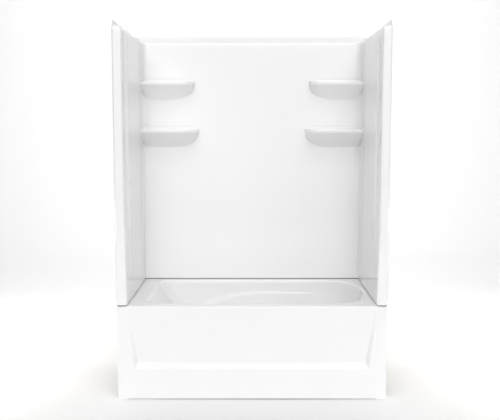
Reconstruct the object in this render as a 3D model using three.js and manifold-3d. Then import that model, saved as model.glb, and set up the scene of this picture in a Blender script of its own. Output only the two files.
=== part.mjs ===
// Sectional tub and shower unit for a three-wall alcove, in millimetres, +Z up.
// Four glossy mouldings (a tub with its apron, a back wall with corner shelves, two end walls with front
// columns) stand on each other over seal strips. Timber under the tub carries it, and bolts join the walls.
// X runs across the unit, Y from the apron's face to the back studs, Z up from the floor.
import * as THREE from "three";
import { mergeVertices } from "three/addons/utils/BufferGeometryUtils.js";
import Module from "manifold-3d";

const wasm = await Module();
wasm.setup();

// The alcove and the heights that every moulding follows
const alcoveWidth = 1524;
const unitDepth = 826;
const finishedHeight = 2079;
const flangeRise = 32;
const deckHeight = 538;

// Clearances, and the overlaps of pieces that are joined or cut
const touchGap = 0.3;
const joinLap = 1;
const cutOverrun = 20;
const weldTolerance = 0.001;

// Skins of the mouldings
const tubSkin = 6;
const wallSkin = 5;

// Walls: how far their faces stand in from the studs, and the seams between them
const endWallToStuds = 63;
const backWallToStuds = 36;
const wallSeam = 5;
const wrapSetback = 2;
const wrapDepth = 151;
const seamWidth = 3;
const ledgeRoll = 20;
const ledgeLap = 3;

// Tub: outer form
const tubSideGap = 2;
const tubBackGap = 14;
const apronCornerRun = 45;
const apronCornerDepth = 16;
const deckRoll = 20;
const sideRollRun = 10;
const sideRollHeight = 60;
const apronReturnDepth = 60;
const apronToeLift = 6;
const apronFootWidth = 60;
const deckDownturn = 25;

// Tub: the apron's recess, a shallow tray that fades out upwards, with a sloping ledge below
const recessTopDrop = 33;
const recessBottomZ = 181;
const recessTopMargin = 67;
const recessBottomMargin = 99;
const recessEndDepth = 30;
const recessMiddleDepth = 21;
const recessBandWidth = 21;
const recessBandTopWidth = 2;
const recessStationShares = [0.75, 0.5, 0.25, 0];

// Tub: upstand lip that the walls stand in front of
const lipHeight = 30;
const lipThickness = 6;
const lipClearance = 1.5;
const lipFrontY = 60;

// Tub: the deck's width on each side of the basin, and the basin's rim
const backrestDeckWidth = 109;
const drainDeckWidth = 26;
const frontDeckWidth = 75;
const backDeckWidth = 55;
const rimRoll = 14;
const leftCornerRadius = 70;
const drainEndRun = 250;
const drainEndExponent = 2.5;
const leftEndBow = 5;

// Tub: how far the basin's walls lean in on the way down, and their turn into the floor
const backrestRun = 277;
const drainWallRun = 45;
const sideWallRun = 45;
const floorFillet = 60;

// Tub: armrest ledges on the two long walls, highest at the drain end and widest at the backrest
const armrestDrop = 72;
const armrestTopX = 78;
const armrestFall = 90;
const armrestFallRun = 430;
const armrestFallExponent = 2.45;
const armrestDrainFall = 10;
const armrestDrainRun = 359;
const armrestWidth = 28;
const armrestFadeX = 30;
const armrestFadeRun = 325;
const armrestSlope = 0.7;
const backrestCreaseDrop = 228;
const creasePasses = 5;
const halfwayShare = 0.5;

// Tub: drain and overflow holes
const drainX = 520;
const drainRadius = 25;
const drainSeatRadius = 38;
const drainSeatDepth = 3;
const overflowDrop = 40;
const overflowRadius = 26;
const overflowCutReach = 24;

// Timber under the tub
const runnerThickness = 38;
const runnerHeight = 89;
const runnerFrontY = 115;
const runnerBackY = 695;
const runnerEndInset = 50;
const runnerDrainClearance = 90;
const baseBoardThickness = 18;
const baseBoardMargin = 8;
const baseBoardCornerRadius = 60;
const baseBoardDrainRadius = 47;
const stiffenerThickness = 38;
const leftStiffenerThickness = 18;
const stiffenerDepth = 38;
const stiffenerClearance = 5;
const frontStiffenerEndGap = 60;
const backStiffenerEndGap = 120;
const endStiffenerInset = 45;
const overflowPipeGap = 160;
const braceWidth = 60;
const braceThickness = 18;
const braceSpacingShare = 0.315;

// Walls: nailing flanges
const flangeThickness = 6;
const flangeFrontY = 12;
const flangeDepth = 45;
const flangeBottomGap = 21;

// End walls: front column, and the contour that parts the recessed front strip from the main face
const columnOuterRadius = 8;
const columnInnerRadius = 9;
const contourDepth = 9;
const contourRamp = 8;
const contourTopY = 78;
const contourBottomY = 150;
const contourBowTopDrop = 379;
const contourBowBottomRise = 290;
const contourBowPower = 1.2;
const contourFadeTopRise = 582;
const contourFadeBottomRise = 102;
const endWallLevelShares = [0, 0.06, 0.12, 0.19, 0.38, 0.53, 0.65, 0.76];

// Back wall: corner fillets, wide above the lower shelf and tight below it
const lowCornerRadius = 14;
const highCornerRadius = 40;
const cornerBlend = 20;

// Corner shelves: how far the lip's top lies below the walls' top, then depth, length and whole height
const upperShelf = { drop: 257, depth: 113, length: 335, height: 110 };
const lowerShelf = { drop: 558, depth: 136, length: 358, height: 114 };
const shelfLip = 20;
const shelfEdge = 4;
const shelfTip = 8;
const shelfEndRun = 64;
const shelfFreeEndRun = 180;
const shelfInnerRadius = 50;
const shelfFallSlope = 0.03;
const shelfHeightShares = [0, 0.12, 0.3, 0.5, 0.72, 1];

// Seam between the end walls and the back wall: turned-out flanges, bolts and nuts
const seamFlangeWidth = 32;
const seamFlangeThickness = 6;
const seamFlangeClearance = 5;
const boltRadius = 3.2;
const boltHoleRadius = 3.6;
const boltHeadRadius = 5.8;
const boltHeadHeight = 4.2;
const nutHeight = 5.2;
const boltEnd = 4;
const boltCount = 5;
const boltEndMargin = 90;

// Seal strips
const sealSetback = 1.5;
const seamSealWidth = 26;

// Backing boards behind the walls, which take grab-bar screws
const backingThickness = 19;
const backingHeight = 160;
const backingRises = { low: 142, middle: 642, high: 1102 };
const backingClearance = 45;

// Facets of the round forms
const cornerSteps = 5;
const leftCornerSteps = 6;
const drainEndSteps = 11;
const longSideSteps = 10;
const leftEndSteps = 4;
const rollSteps = 3;
const filletSteps = 3;
const holeSides = 24;
const boltSides = 12;
const hexSides = 6;

// Sizes that follow
const studX = alcoveWidth / 2;
const unitHeight = finishedHeight + flangeRise;
const flangeInnerX = studX - flangeThickness;
const endWallFaceX = studX - endWallToStuds;
const wrapFaceX = endWallFaceX + wrapSetback;
const backWallFaceY = unitDepth - backWallToStuds;
const endWallBackY = backWallFaceY - wrapDepth;
const backWallFrontY = endWallBackY + seamWidth;
const wallBottomZ = deckHeight + wallSeam;
const rollStartZ = finishedHeight - ledgeRoll;
const tubHalfWidth = studX - tubSideGap;
const tubBackY = unitDepth - tubBackGap;
const recessTopZ = deckHeight - recessTopDrop;
const recessTopHalfWidth = tubHalfWidth - recessTopMargin;
const recessBottomHalfWidth = tubHalfWidth - recessBottomMargin;
const rimLeftX = -endWallFaceX + backrestDeckWidth;
const rimRightX = endWallFaceX - drainDeckWidth;
const rimFrontY = frontDeckWidth;
const rimBackY = backWallFaceY - backDeckWidth;
const basinMiddleY = (rimFrontY + rimBackY) / 2;
const basinWallTopZ = deckHeight - rimRoll;
const floorZ = runnerHeight + baseBoardThickness + 2 * touchGap + tubSkin;
const armrestTopZ = deckHeight - armrestDrop;
const backrestCreaseZ = deckHeight - backrestCreaseDrop;
const overflowZ = deckHeight - overflowDrop;
const lipInnerX = wrapFaceX + wallSkin + lipClearance;
const lipInnerY = backWallFaceY + wallSkin + lipClearance;
const seamFlangeBottomZ = deckHeight + lipHeight + seamFlangeClearance;
const seamFlangeTopZ = finishedHeight - wallSkin / 2;
const boltX = wrapFaceX + wallSkin + (seamFlangeWidth - wallSkin) / 2;
const shelves = [upperShelf, lowerShelf].map((shelf) => {
  const topZ = finishedHeight - shelf.drop;
  return { ...shelf, topZ, bottomZ: topZ - shelf.height };
});

const quarterTurn = Math.PI / 2;

// A closed geometry as a solid for cutting and joining. One that faces inwards is turned over.
function solid(geometry) {
  const bare = geometry.clone();
  bare.deleteAttribute("normal");
  bare.deleteAttribute("uv");
  const merged = mergeVertices(bare, weldTolerance);
  const index = merged.index.array;
  const corners = [];
  for (let i = 0; i < index.length; i += 3) {
    const [a, b, c] = [index[i], index[i + 1], index[i + 2]];
    if (a !== b && b !== c && c !== a) corners.push(a, b, c);
  }
  const build = (triangles) =>
    new wasm.Manifold(
      new wasm.Mesh({
        numProp: 3,
        vertProperties: merged.attributes.position.array,
        triVerts: new Uint32Array(triangles),
      }),
    );
  const made = build(corners);
  return made.volume() < 0 ? build(corners.reverse()) : made;
}

function geometryOf(body) {
  const mesh = body.getMesh();
  const geometry = new THREE.BufferGeometry();
  geometry.setAttribute("position", new THREE.BufferAttribute(mesh.vertProperties, 3));
  geometry.setIndex(new THREE.BufferAttribute(mesh.triVerts, 1));
  geometry.computeVertexNormals();
  return geometry;
}

function indexedGeometry(points, triangles) {
  const geometry = new THREE.BufferGeometry().setFromPoints(points);
  geometry.setIndex(triangles);
  return geometry;
}

const joined = (bodies) => bodies.reduce((sum, body) => sum.add(body));

const box = (x0, x1, y0, y1, z0, z1) =>
  solid(
    new THREE.BoxGeometry(x1 - x0, y1 - y0, z1 - z0).translate(
      (x0 + x1) / 2,
      (y0 + y1) / 2,
      (z0 + z1) / 2,
    ),
  );

// A flat plate with this outline, from one height to another. Points along a straight edge are left out.
function plate(outline, bottomZ, topZ) {
  const count = outline.length;
  const turns = outline.filter((p, i) => {
    const before = outline[(i + count - 1) % count];
    const after = outline[(i + 1) % count];
    return Math.abs(THREE.ShapeUtils.area([before, p, after])) > weldTolerance;
  });
  const settings = { depth: topZ - bottomZ, bevelEnabled: false };
  return solid(new THREE.ExtrudeGeometry(new THREE.Shape(turns), settings).translate(0, 0, bottomZ));
}

// The mirror image of a left-hand body on the right of the unit.
const mirrored = (body) => body.mirror([1, 0, 0]);

// Closed rings of points joined from one to the next, with a cap fanned from the middle at each end.
function loft(rings) {
  const count = rings[0].length;
  const middle = (ring) => ring.reduce((sum, p) => sum.add(p), new THREE.Vector3()).divideScalar(count);
  const points = [...rings.flat(), middle(rings[0]), middle(rings.at(-1))];
  const lastRing = (rings.length - 1) * count;
  const triangles = [];
  for (let i = 0; i < count; i++) {
    const next = (i + 1) % count;
    for (let ring = 0; ring < lastRing; ring += count) {
      triangles.push(ring + i, ring + next, ring + next + count);
      triangles.push(ring + i, ring + next + count, ring + i + count);
    }
    triangles.push(next, i, points.length - 2);
    triangles.push(lastRing + i, lastRing + next, points.length - 1);
  }
  return solid(indexedGeometry(points, triangles));
}

// A skin between two grids of points that match row by row: the face that shows and the hidden one.
function skinBetween(face, hidden) {
  const rows = face.length;
  const columns = face[0].length;
  const at = (layer, row, column) => (layer * rows + row) * columns + column;
  const triangles = [];
  const quad = (a, b, c, d) => triangles.push(a, b, c, a, c, d);
  const lastRow = rows - 1;
  const lastColumn = columns - 1;
  for (let r = 0; r < lastRow; r++) {
    for (let c = 0; c < lastColumn; c++) {
      quad(at(0, r, c), at(0, r, c + 1), at(0, r + 1, c + 1), at(0, r + 1, c));
      quad(at(1, r, c), at(1, r + 1, c), at(1, r + 1, c + 1), at(1, r, c + 1));
    }
    quad(at(0, r, 0), at(0, r + 1, 0), at(1, r + 1, 0), at(1, r, 0));
    quad(at(1, r, lastColumn), at(1, r + 1, lastColumn), at(0, r + 1, lastColumn), at(0, r, lastColumn));
  }
  for (let c = 0; c < lastColumn; c++) {
    quad(at(1, 0, c), at(1, 0, c + 1), at(0, 0, c + 1), at(0, 0, c));
    quad(at(0, lastRow, c), at(0, lastRow, c + 1), at(1, lastRow, c + 1), at(1, lastRow, c));
  }
  return solid(indexedGeometry([...face.flat(), ...hidden.flat()], triangles));
}

// Points on an ellipse's arc, from one angle to another.
function arc(centreX, centreY, radiusX, radiusY, from, to, steps) {
  const points = [];
  for (let i = 0; i <= steps; i++) {
    const angle = from + ((to - from) * i) / steps;
    points.push(new THREE.Vector2(centreX + radiusX * Math.cos(angle), centreY + radiusY * Math.sin(angle)));
  }
  return points;
}

const clampShare = (value) => THREE.MathUtils.clamp(value, 0, 1);

// Angles from nothing to a quarter turn.
const quarterAngles = (steps) => Array.from({ length: steps + 1 }, (_, i) => (quarterTurn * i) / steps);

const mirrorPath = (left) => [...left, ...left.map((p) => new THREE.Vector2(-p.x, p.y)).reverse()];

const lifted = (path, z) => path.map((p) => new THREE.Vector3(p.x, p.y, z));

// The recess's depth at its deepest row, bowed across the apron.
const recessDepth = (x) =>
  recessMiddleDepth + (recessEndDepth - recessMiddleDepth) * (x / recessBottomHalfWidth) ** 2;

// How far the tub's sides draw in at a height, where they round over into the deck.
function sideRollAt(z) {
  const share = clampShare((z - deckHeight + sideRollHeight) / sideRollHeight);
  return sideRollRun * (1 - Math.sqrt(1 - share ** 2));
}

// One ring round the tub's outer block. `recess` is none, ledgeFoot, ledgeTop or top, for the rows of the
// apron's recess. `roll` sets the front back where it rolls over into the deck.
function tubRing({ z, recess, roll, inset }) {
  const halfWidth = tubHalfWidth - sideRollAt(z);
  const sideX = halfWidth - inset;
  const frontY = roll + inset;
  const open = recess === "ledgeTop";
  const high = recess === "top" || roll > 0 || z > recessTopZ;
  const edge = (high ? recessTopHalfWidth : recessBottomHalfWidth) + inset;
  const band = high ? recessBandTopWidth : recessBandWidth;
  const rowZ = open ? z + recessEndDepth : z;
  const corner = arc(
    -halfWidth + apronCornerRun,
    roll + apronCornerDepth,
    apronCornerRun - inset,
    apronCornerDepth - inset,
    Math.PI,
    3 * quarterTurn,
    cornerSteps,
  );
  const left = [
    new THREE.Vector3(-sideX, tubBackY - inset, rowZ),
    ...lifted(corner, rowZ),
    new THREE.Vector3(-edge, frontY, rowZ),
    ...[1, ...recessStationShares].map((share) => {
      const x = -(edge - band) * share;
      const depth = open ? recessDepth(x) : 0;
      return new THREE.Vector3(x, frontY + depth, open ? z + depth : z);
    }),
  ];
  const right = left.slice(0, -1).map((p) => new THREE.Vector3(-p.x, p.y, p.z));
  return [...left, ...right.reverse()];
}

// The tub's outer block, or, with an inset, the space under its skin.
function tubBlock(inset) {
  const bottomZ = inset > 0 ? -cutOverrun : 0;
  const rows = [
    { z: bottomZ, recess: "none" },
    { z: recessBottomZ - inset, recess: "ledgeFoot" },
    { z: recessBottomZ - inset, recess: "ledgeTop" },
    { z: recessTopZ, recess: "top" },
  ].map((row) => ({ ...row, roll: 0, inset }));
  for (const angle of quarterAngles(rollSteps)) {
    const radius = deckRoll - inset;
    const roll = radius * (1 - Math.cos(angle));
    const z = deckHeight - deckRoll + radius * Math.sin(angle);
    rows.push({ z, recess: "top", roll, inset });
  }
  return loft(rows.map(tubRing));
}

// Height of the armrest's outer edge along the long walls: it falls away towards the backrest.
function armrestZ(x) {
  if (x > armrestTopX) return armrestTopZ - (armrestDrainFall * (x - armrestTopX)) / armrestDrainRun;
  return armrestTopZ - armrestFall * ((armrestTopX - x) / armrestFallRun) ** armrestFallExponent;
}

const armrestWidthAt = (x) => armrestWidth * clampShare((armrestFadeX - x) / armrestFadeRun);

// Plan of the basin at one depth, anticlockwise from the back left corner, with how far each point takes
// part in the armrest: all along the long walls, and fading round the left corners.
function basinPlan(share, extra, grow) {
  const leftX = rimLeftX + backrestRun * share + extra - grow;
  const rightX = rimRightX - drainWallRun * share - extra + grow;
  const frontY = rimFrontY + sideWallRun * share + extra - grow;
  const backY = rimBackY - sideWallRun * share - extra + grow;
  const radius = leftCornerRadius + grow;
  const endRun = drainEndRun + grow;
  const halfWidth = (backY - frontY) / 2;
  const plan = [];
  const add = (x, y, armrest, side) => plan.push({ x, y, armrest, side });
  for (let i = 0; i <= leftCornerSteps; i++) {
    const turn = (quarterTurn * i) / leftCornerSteps;
    const x = leftX + radius * (1 - Math.sin(turn));
    add(x, backY - radius * (1 - Math.cos(turn)), 1 - i / leftCornerSteps, -1);
  }
  for (let i = 1; i < leftEndSteps; i++) {
    const along = i / leftEndSteps;
    const y = THREE.MathUtils.lerp(backY - radius, frontY + radius, along);
    add(leftX + leftEndBow * Math.sin(Math.PI * along), y, 0, 0);
  }
  for (let i = 0; i <= leftCornerSteps; i++) {
    const turn = (quarterTurn * i) / leftCornerSteps;
    const x = leftX + radius * (1 - Math.cos(turn));
    add(x, frontY + radius * (1 - Math.sin(turn)), i / leftCornerSteps, 1);
  }
  const straightFrom = leftX + radius;
  const straightTo = rightX - endRun;
  for (let i = 1; i < longSideSteps; i++) {
    add(THREE.MathUtils.lerp(straightFrom, straightTo, i / longSideSteps), frontY, 1, 1);
  }
  for (let i = 0; i <= 2 * drainEndSteps; i++) {
    const turn = -quarterTurn + (quarterTurn * i) / drainEndSteps;
    const run = Math.abs(Math.cos(turn)) ** (2 / drainEndExponent);
    const rise = Math.sign(turn) * Math.abs(Math.sin(turn)) ** (2 / drainEndExponent);
    add(straightTo + endRun * run, basinMiddleY + halfWidth * rise, 1, -Math.sign(turn));
  }
  for (let i = longSideSteps - 1; i > 0; i--) {
    add(THREE.MathUtils.lerp(straightFrom, straightTo, i / longSideSteps), backY, 1, -1);
  }
  return plan;
}

const depthShare = (z) => clampShare((basinWallTopZ - z) / (basinWallTopZ - floorZ));

// One ring of the basin, between the heights `upper` and `lower`: a number, "crease" for the armrest's
// outer edge or "ledge" for its inner one. Each point slides straight from its place at the rim to its place
// at the floor, so where a height follows the armrest, point and height are settled in a few passes.
function basinRing({ extra, upper, lower, between, ledge }, grow) {
  const rim = basinPlan(0, extra, grow);
  const foot = basinPlan(1, extra, grow);
  const heightAt = (place, x, armrest) => {
    if (typeof place === "number") return place;
    const long = armrestZ(x) - (place === "ledge" ? armrestSlope * armrestWidthAt(x) : 0);
    return THREE.MathUtils.lerp(backrestCreaseZ, long, armrest);
  };
  return rim.map((p, i) => {
    let { x } = p;
    let z = basinWallTopZ;
    for (let pass = 0; pass < creasePasses; pass++) {
      z = THREE.MathUtils.lerp(heightAt(upper, x, p.armrest), heightAt(lower, x, p.armrest), between);
      x = THREE.MathUtils.lerp(p.x, foot[i].x, depthShare(z));
    }
    const width = ledge * armrestWidthAt(x) * p.armrest * p.side;
    const y = THREE.MathUtils.lerp(p.y, foot[i].y, depthShare(z)) + width;
    return new THREE.Vector3(x, y, z - grow);
  });
}

// The basin's inside, or, grown by the skin, its outside.
function basinBlock(grow) {
  const filletTopZ = floorZ + floorFillet;
  const flat = (z, extra, ledge) => ({ extra, lower: z, upper: z, between: 0, ledge });
  const capZ = grow > 0 ? deckHeight + tubSkin / 2 : deckHeight + cutOverrun;
  const rows = [flat(capZ, -rimRoll, 0)];
  for (const angle of quarterAngles(rollSteps)) {
    const z = deckHeight - rimRoll * (1 - Math.cos(angle));
    rows.push(flat(z, -rimRoll * (1 - Math.sin(angle)), 0));
  }
  rows.push(
    { extra: 0, upper: basinWallTopZ, lower: "crease", between: halfwayShare, ledge: 0 },
    { extra: 0, upper: "crease", lower: "crease", between: 0, ledge: 0 },
    { extra: 0, upper: "ledge", lower: "ledge", between: 0, ledge: 1 },
    { extra: 0, upper: "ledge", lower: filletTopZ, between: halfwayShare, ledge: 1 },
  );
  for (const angle of quarterAngles(filletSteps)) {
    const z = floorZ + floorFillet * (1 - Math.sin(angle));
    rows.push(flat(z, floorFillet * (1 - Math.cos(angle)), 1));
  }
  return loft(rows.map((row) => basinRing(row, grow)));
}

function upright(radius, x, y, z0, z1) {
  const shaft = new THREE.CylinderGeometry(radius, radius, z1 - z0, holeSides);
  return solid(shaft.rotateX(quarterTurn).translate(x, y, (z0 + z1) / 2));
}

// The lip that stands up round the deck's back and sides, behind the walls.
function upstandLip() {
  const outerX = lipInnerX + lipThickness;
  const outerY = lipInnerY + lipThickness;
  const bottomZ = deckHeight - tubSkin / 2;
  const topZ = deckHeight + lipHeight;
  const side = box(-outerX, -lipInnerX, lipFrontY, outerY, bottomZ, topZ);
  return joined([side, mirrored(side), box(-outerX, outerX, lipInnerY, outerY, bottomZ, topZ)]);
}

// One moulding: apron, deck, rim, basin and lip, open from below and behind.
function tubShell() {
  const past = tubHalfWidth + cutOverrun;
  const farY = tubBackY + cutOverrun;
  const skirtTopZ = deckHeight - tubSkin - deckDownturn;
  const skirtCut = box(-past, past, apronReturnDepth, farY, -cutOverrun, skirtTopZ);
  const toeX = tubHalfWidth - apronFootWidth;
  const toe = box(-toeX, toeX, -cutOverrun, apronReturnDepth, -cutOverrun, apronToeLift);
  const drain = upright(drainRadius, drainX, basinMiddleY, 0, floorZ + cutOverrun);
  const seatZ = floorZ - drainSeatDepth;
  const drainSeat = upright(drainSeatRadius, drainX, basinMiddleY, seatZ, floorZ + cutOverrun);
  const overflow = new THREE.CylinderGeometry(overflowRadius, overflowRadius, 2 * overflowCutReach, holeSides)
    .rotateZ(quarterTurn)
    .translate(rimRightX, basinMiddleY, overflowZ);
  return tubBlock(0)
    .subtract(tubBlock(tubSkin))
    .subtract(skirtCut)
    .subtract(toe)
    .add(basinBlock(tubSkin))
    .add(upstandLip())
    .subtract(basinBlock(0))
    .subtract(drain)
    .subtract(drainSeat)
    .subtract(solid(overflow));
}

// The board bonded under the basin's flat floor, with a hole round the drain.
const boardLeftX = rimLeftX + backrestRun + floorFillet + baseBoardMargin;
const boardRightX = rimRightX - drainWallRun - floorFillet - baseBoardMargin;

function basinBaseBoard() {
  const front = rimFrontY + sideWallRun + floorFillet + baseBoardMargin;
  const back = rimBackY - sideWallRun - floorFillet - baseBoardMargin;
  const r = baseBoardCornerRadius;
  const outline = [
    ...arc(boardLeftX + r, front + r, r, r, Math.PI, 3 * quarterTurn, cornerSteps),
    ...arc(boardRightX - r, front + r, r, r, -quarterTurn, 0, cornerSteps),
    ...arc(boardRightX - r, back - r, r, r, 0, quarterTurn, cornerSteps),
    ...arc(boardLeftX + r, back - r, r, r, quarterTurn, Math.PI, cornerSteps),
  ];
  const bottomZ = runnerHeight + touchGap;
  const board = plate(outline, bottomZ, bottomZ + baseBoardThickness);
  return board.subtract(upright(baseBoardDrainRadius, drainX, basinMiddleY, 0, floorZ));
}

// Runners on edge, from front to back under the board. The right one stands clear of the drain.
const runnerLeftX = boardLeftX + runnerEndInset;
const runnerRightX = drainX - runnerDrainClearance;
const runnerXs = { left: runnerLeftX, middle: (runnerLeftX + runnerRightX) / 2, right: runnerRightX };

const baseRunner = (x) =>
  box(x - runnerThickness / 2, x + runnerThickness / 2, runnerFrontY, runnerBackY, 0, runnerHeight);

// Timber strips under the deck, on the four sides of the basin. The right side's leaves a gap for the pipe
// that comes down from the overflow hole.
const stiffenerTopZ = deckHeight - tubSkin - touchGap;
const stiffenerLowZ = stiffenerTopZ - stiffenerDepth;
const basinOuterReach = rimRoll + tubSkin + stiffenerClearance;
const frontStiffenerBackY = rimFrontY - basinOuterReach;
const endStiffenerFrontY = rimFrontY + endStiffenerInset;
const endStiffenerBackY = rimBackY - endStiffenerInset;

function frontStiffener() {
  const halfLength = tubHalfWidth - frontStiffenerEndGap;
  const frontY = deckRoll + touchGap;
  return box(-halfLength, halfLength, frontY, frontStiffenerBackY, stiffenerLowZ, stiffenerTopZ);
}

function backStiffener() {
  const halfLength = tubHalfWidth - backStiffenerEndGap;
  const frontY = rimBackY + basinOuterReach;
  return box(-halfLength, halfLength, frontY, frontY + stiffenerThickness, stiffenerLowZ, stiffenerTopZ);
}

function leftStiffener() {
  const innerX = rimLeftX - basinOuterReach;
  const lowZ = stiffenerTopZ - leftStiffenerThickness;
  return box(-endWallFaceX, innerX, endStiffenerFrontY, endStiffenerBackY, lowZ, stiffenerTopZ);
}

function rightStiffener(fromY, toY) {
  const innerX = rimRightX + basinOuterReach;
  return box(innerX, innerX + stiffenerThickness, fromY, toY, stiffenerLowZ, stiffenerTopZ);
}

const overflowGapFrontY = basinMiddleY - overflowPipeGap / 2;
const overflowGapBackY = basinMiddleY + overflowPipeGap / 2;

// An upright brace from the floor to the front stiffener, behind the apron.
const braceSpacing = alcoveWidth * braceSpacingShare;
const braceXs = { left: -braceSpacing, middle: 0, right: braceSpacing };

function apronBrace(x) {
  const backY = frontStiffenerBackY + stiffenerClearance;
  const topZ = stiffenerLowZ - touchGap;
  return box(x - braceWidth / 2, x + braceWidth / 2, backY - braceThickness, backY, 0, topZ);
}

// How far the contour's line stands behind the column at a height, and how deep the strip in front of it is.
function contourY(z) {
  const topZ = finishedHeight - contourBowTopDrop;
  const share = clampShare((topZ - z) / (topZ - deckHeight - contourBowBottomRise));
  return contourTopY + (contourBottomY - contourTopY) * share ** contourBowPower;
}

function contourDepthAt(z) {
  const rise = z - deckHeight - contourFadeBottomRise;
  return contourDepth * clampShare(rise / (contourFadeTopRise - contourFadeBottomRise));
}

// Plan of the left end wall's face at a height, from the column's outer side to the seam with the back wall.
// `roll` sets it back from the bather where the top rolls over, and `inset` goes into the skin.
function endWallPath(z, roll, inset) {
  const outerX = -flangeInnerX + inset;
  const frontY = roll + inset;
  const mainX = -endWallFaceX - roll - inset;
  const stripX = mainX - contourDepthAt(z);
  const outerR = columnOuterRadius - inset;
  const innerR = columnInnerRadius - inset;
  const lineY = contourY(z);
  return [
    new THREE.Vector2(outerX, flangeFrontY + flangeDepth),
    ...arc(outerX + outerR, frontY + outerR, outerR, outerR, Math.PI, 3 * quarterTurn, cornerSteps),
    ...arc(stripX - innerR, frontY + innerR, innerR, innerR, -quarterTurn, 0, cornerSteps),
    new THREE.Vector2(stripX, lineY),
    new THREE.Vector2(mainX, lineY + contourRamp),
    new THREE.Vector2(mainX, endWallBackY),
  ];
}

// Plan of the back wall's face: a U that wraps forward to the seams with the end walls.
function backWallPath(z, roll, inset) {
  const offset = roll + inset;
  const sideX = wrapFaceX + offset;
  const faceY = backWallFaceY + offset;
  const shelfClearLow = shelves[1].bottomZ + cornerBlend;
  const shelfClearHigh = shelves[1].topZ - cornerBlend;
  const wide = clampShare((z - shelfClearLow) / (shelfClearHigh - shelfClearLow));
  const radius = THREE.MathUtils.lerp(lowCornerRadius, highCornerRadius, wide) + offset;
  return mirrorPath([
    new THREE.Vector2(-sideX, backWallFrontY),
    ...arc(-sideX + radius, faceY - radius, radius, radius, Math.PI, quarterTurn, cornerSteps),
  ]);
}

// A wall's skin: the path at these levels, rolled over at the top into the start of the ledge.
function wallSkinBody(path, levels) {
  const face = levels.map((z) => lifted(path(z, 0, 0), z));
  const hidden = levels.map((z) => lifted(path(z, 0, wallSkin), z));
  const hiddenRadius = ledgeRoll - wallSkin;
  for (const angle of quarterAngles(rollSteps)) {
    const z = rollStartZ + ledgeRoll * Math.sin(angle);
    const hiddenZ = rollStartZ + hiddenRadius * Math.sin(angle);
    face.push(lifted(path(z, ledgeRoll * (1 - Math.cos(angle)), 0), z));
    hidden.push(lifted(path(hiddenZ, hiddenRadius * (1 - Math.cos(angle)), wallSkin), hiddenZ));
  }
  const lapRoll = ledgeRoll + ledgeLap;
  face.push(lifted(path(finishedHeight, lapRoll, 0), finishedHeight));
  hidden.push(lifted(path(finishedHeight, lapRoll - wallSkin, wallSkin), finishedHeight - wallSkin));
  return skinBetween(face, hidden);
}

// Heights of the bolts that join the end walls to the back wall.
const boltZs = Array.from({ length: boltCount }, (_, i) => {
  const from = seamFlangeBottomZ + boltEndMargin;
  const to = seamFlangeTopZ - boltEndMargin;
  return THREE.MathUtils.lerp(from, to, i / (boltCount - 1));
});

// The turned-out flange on one side of the left seam, with its bolt holes.
function seamFlange(faceX, fromY) {
  const skinX = faceX + wallSkin - joinLap;
  const outerX = wrapFaceX + wallSkin + seamFlangeWidth;
  const toY = fromY + seamFlangeThickness;
  let flange = box(-outerX, -skinX, fromY, toY, seamFlangeBottomZ, seamFlangeTopZ);
  for (const z of boltZs) {
    const hole = new THREE.CylinderGeometry(boltHoleRadius, boltHoleRadius, 2 * cutOverrun, boltSides);
    flange = flange.subtract(solid(hole.translate(-boltX, fromY, z)));
  }
  return flange;
}

function leftEndWall() {
  const levels = endWallLevelShares.map((share) => THREE.MathUtils.lerp(wallBottomZ, rollStartZ, share));
  const ledgeOutline = endWallPath(finishedHeight, ledgeRoll, 0);
  ledgeOutline.push(new THREE.Vector2(-flangeInnerX, endWallBackY));
  const lapX = -flangeInnerX + joinLap;
  const ledgeZ = finishedHeight - wallSkin;
  const flangeBottomZ = deckHeight + flangeBottomGap;
  const columnFlangeBackY = flangeFrontY + flangeDepth;
  return joined([
    wallSkinBody(endWallPath, levels),
    plate(ledgeOutline, ledgeZ, finishedHeight),
    box(-studX, lapX, flangeFrontY, columnFlangeBackY, flangeBottomZ, unitHeight),
    box(-studX, lapX, flangeFrontY, endWallBackY, ledgeZ, unitHeight),
    seamFlange(endWallFaceX, endWallBackY - seamFlangeThickness),
  ]);
}

// How far a shelf stands out and runs at a height above the lowest point of its underside. The underside
// slopes back to the wall, its free end sweeps up and its inner end turns up to the side wall.
function shelfSection(shelf, height) {
  const run = clampShare(height / (shelf.topZ - shelfLip - shelf.bottomZ));
  const innerRun = clampShare(height / shelfInnerRadius);
  const sweep = (share) => 1 - Math.sqrt(1 - (1 - share) ** 2);
  return {
    depth: THREE.MathUtils.lerp(shelfTip, shelf.depth, run),
    startX: -wrapFaceX + shelfInnerRadius * sweep(innerRun),
    endX: -wrapFaceX + shelf.length - shelfFreeEndRun * sweep(run),
  };
}

// Plan of a left-hand shelf with its straight front and rounded free end, closed at `backY` in the wall.
function shelfRing(shelf, { depth, startX, endX }, backY, z, slope) {
  const endRun = (shelfEndRun * depth) / shelf.depth;
  const front = backWallFaceY - depth;
  const outline = [
    new THREE.Vector2(startX, backY),
    new THREE.Vector2(startX, front),
    ...arc(endX - endRun, backWallFaceY, endRun, depth, -quarterTurn, 0, cornerSteps),
    new THREE.Vector2(endX, backY),
  ];
  return outline.map((p) => new THREE.Vector3(p.x, p.y, z + slope * (p.y - front)));
}

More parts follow.
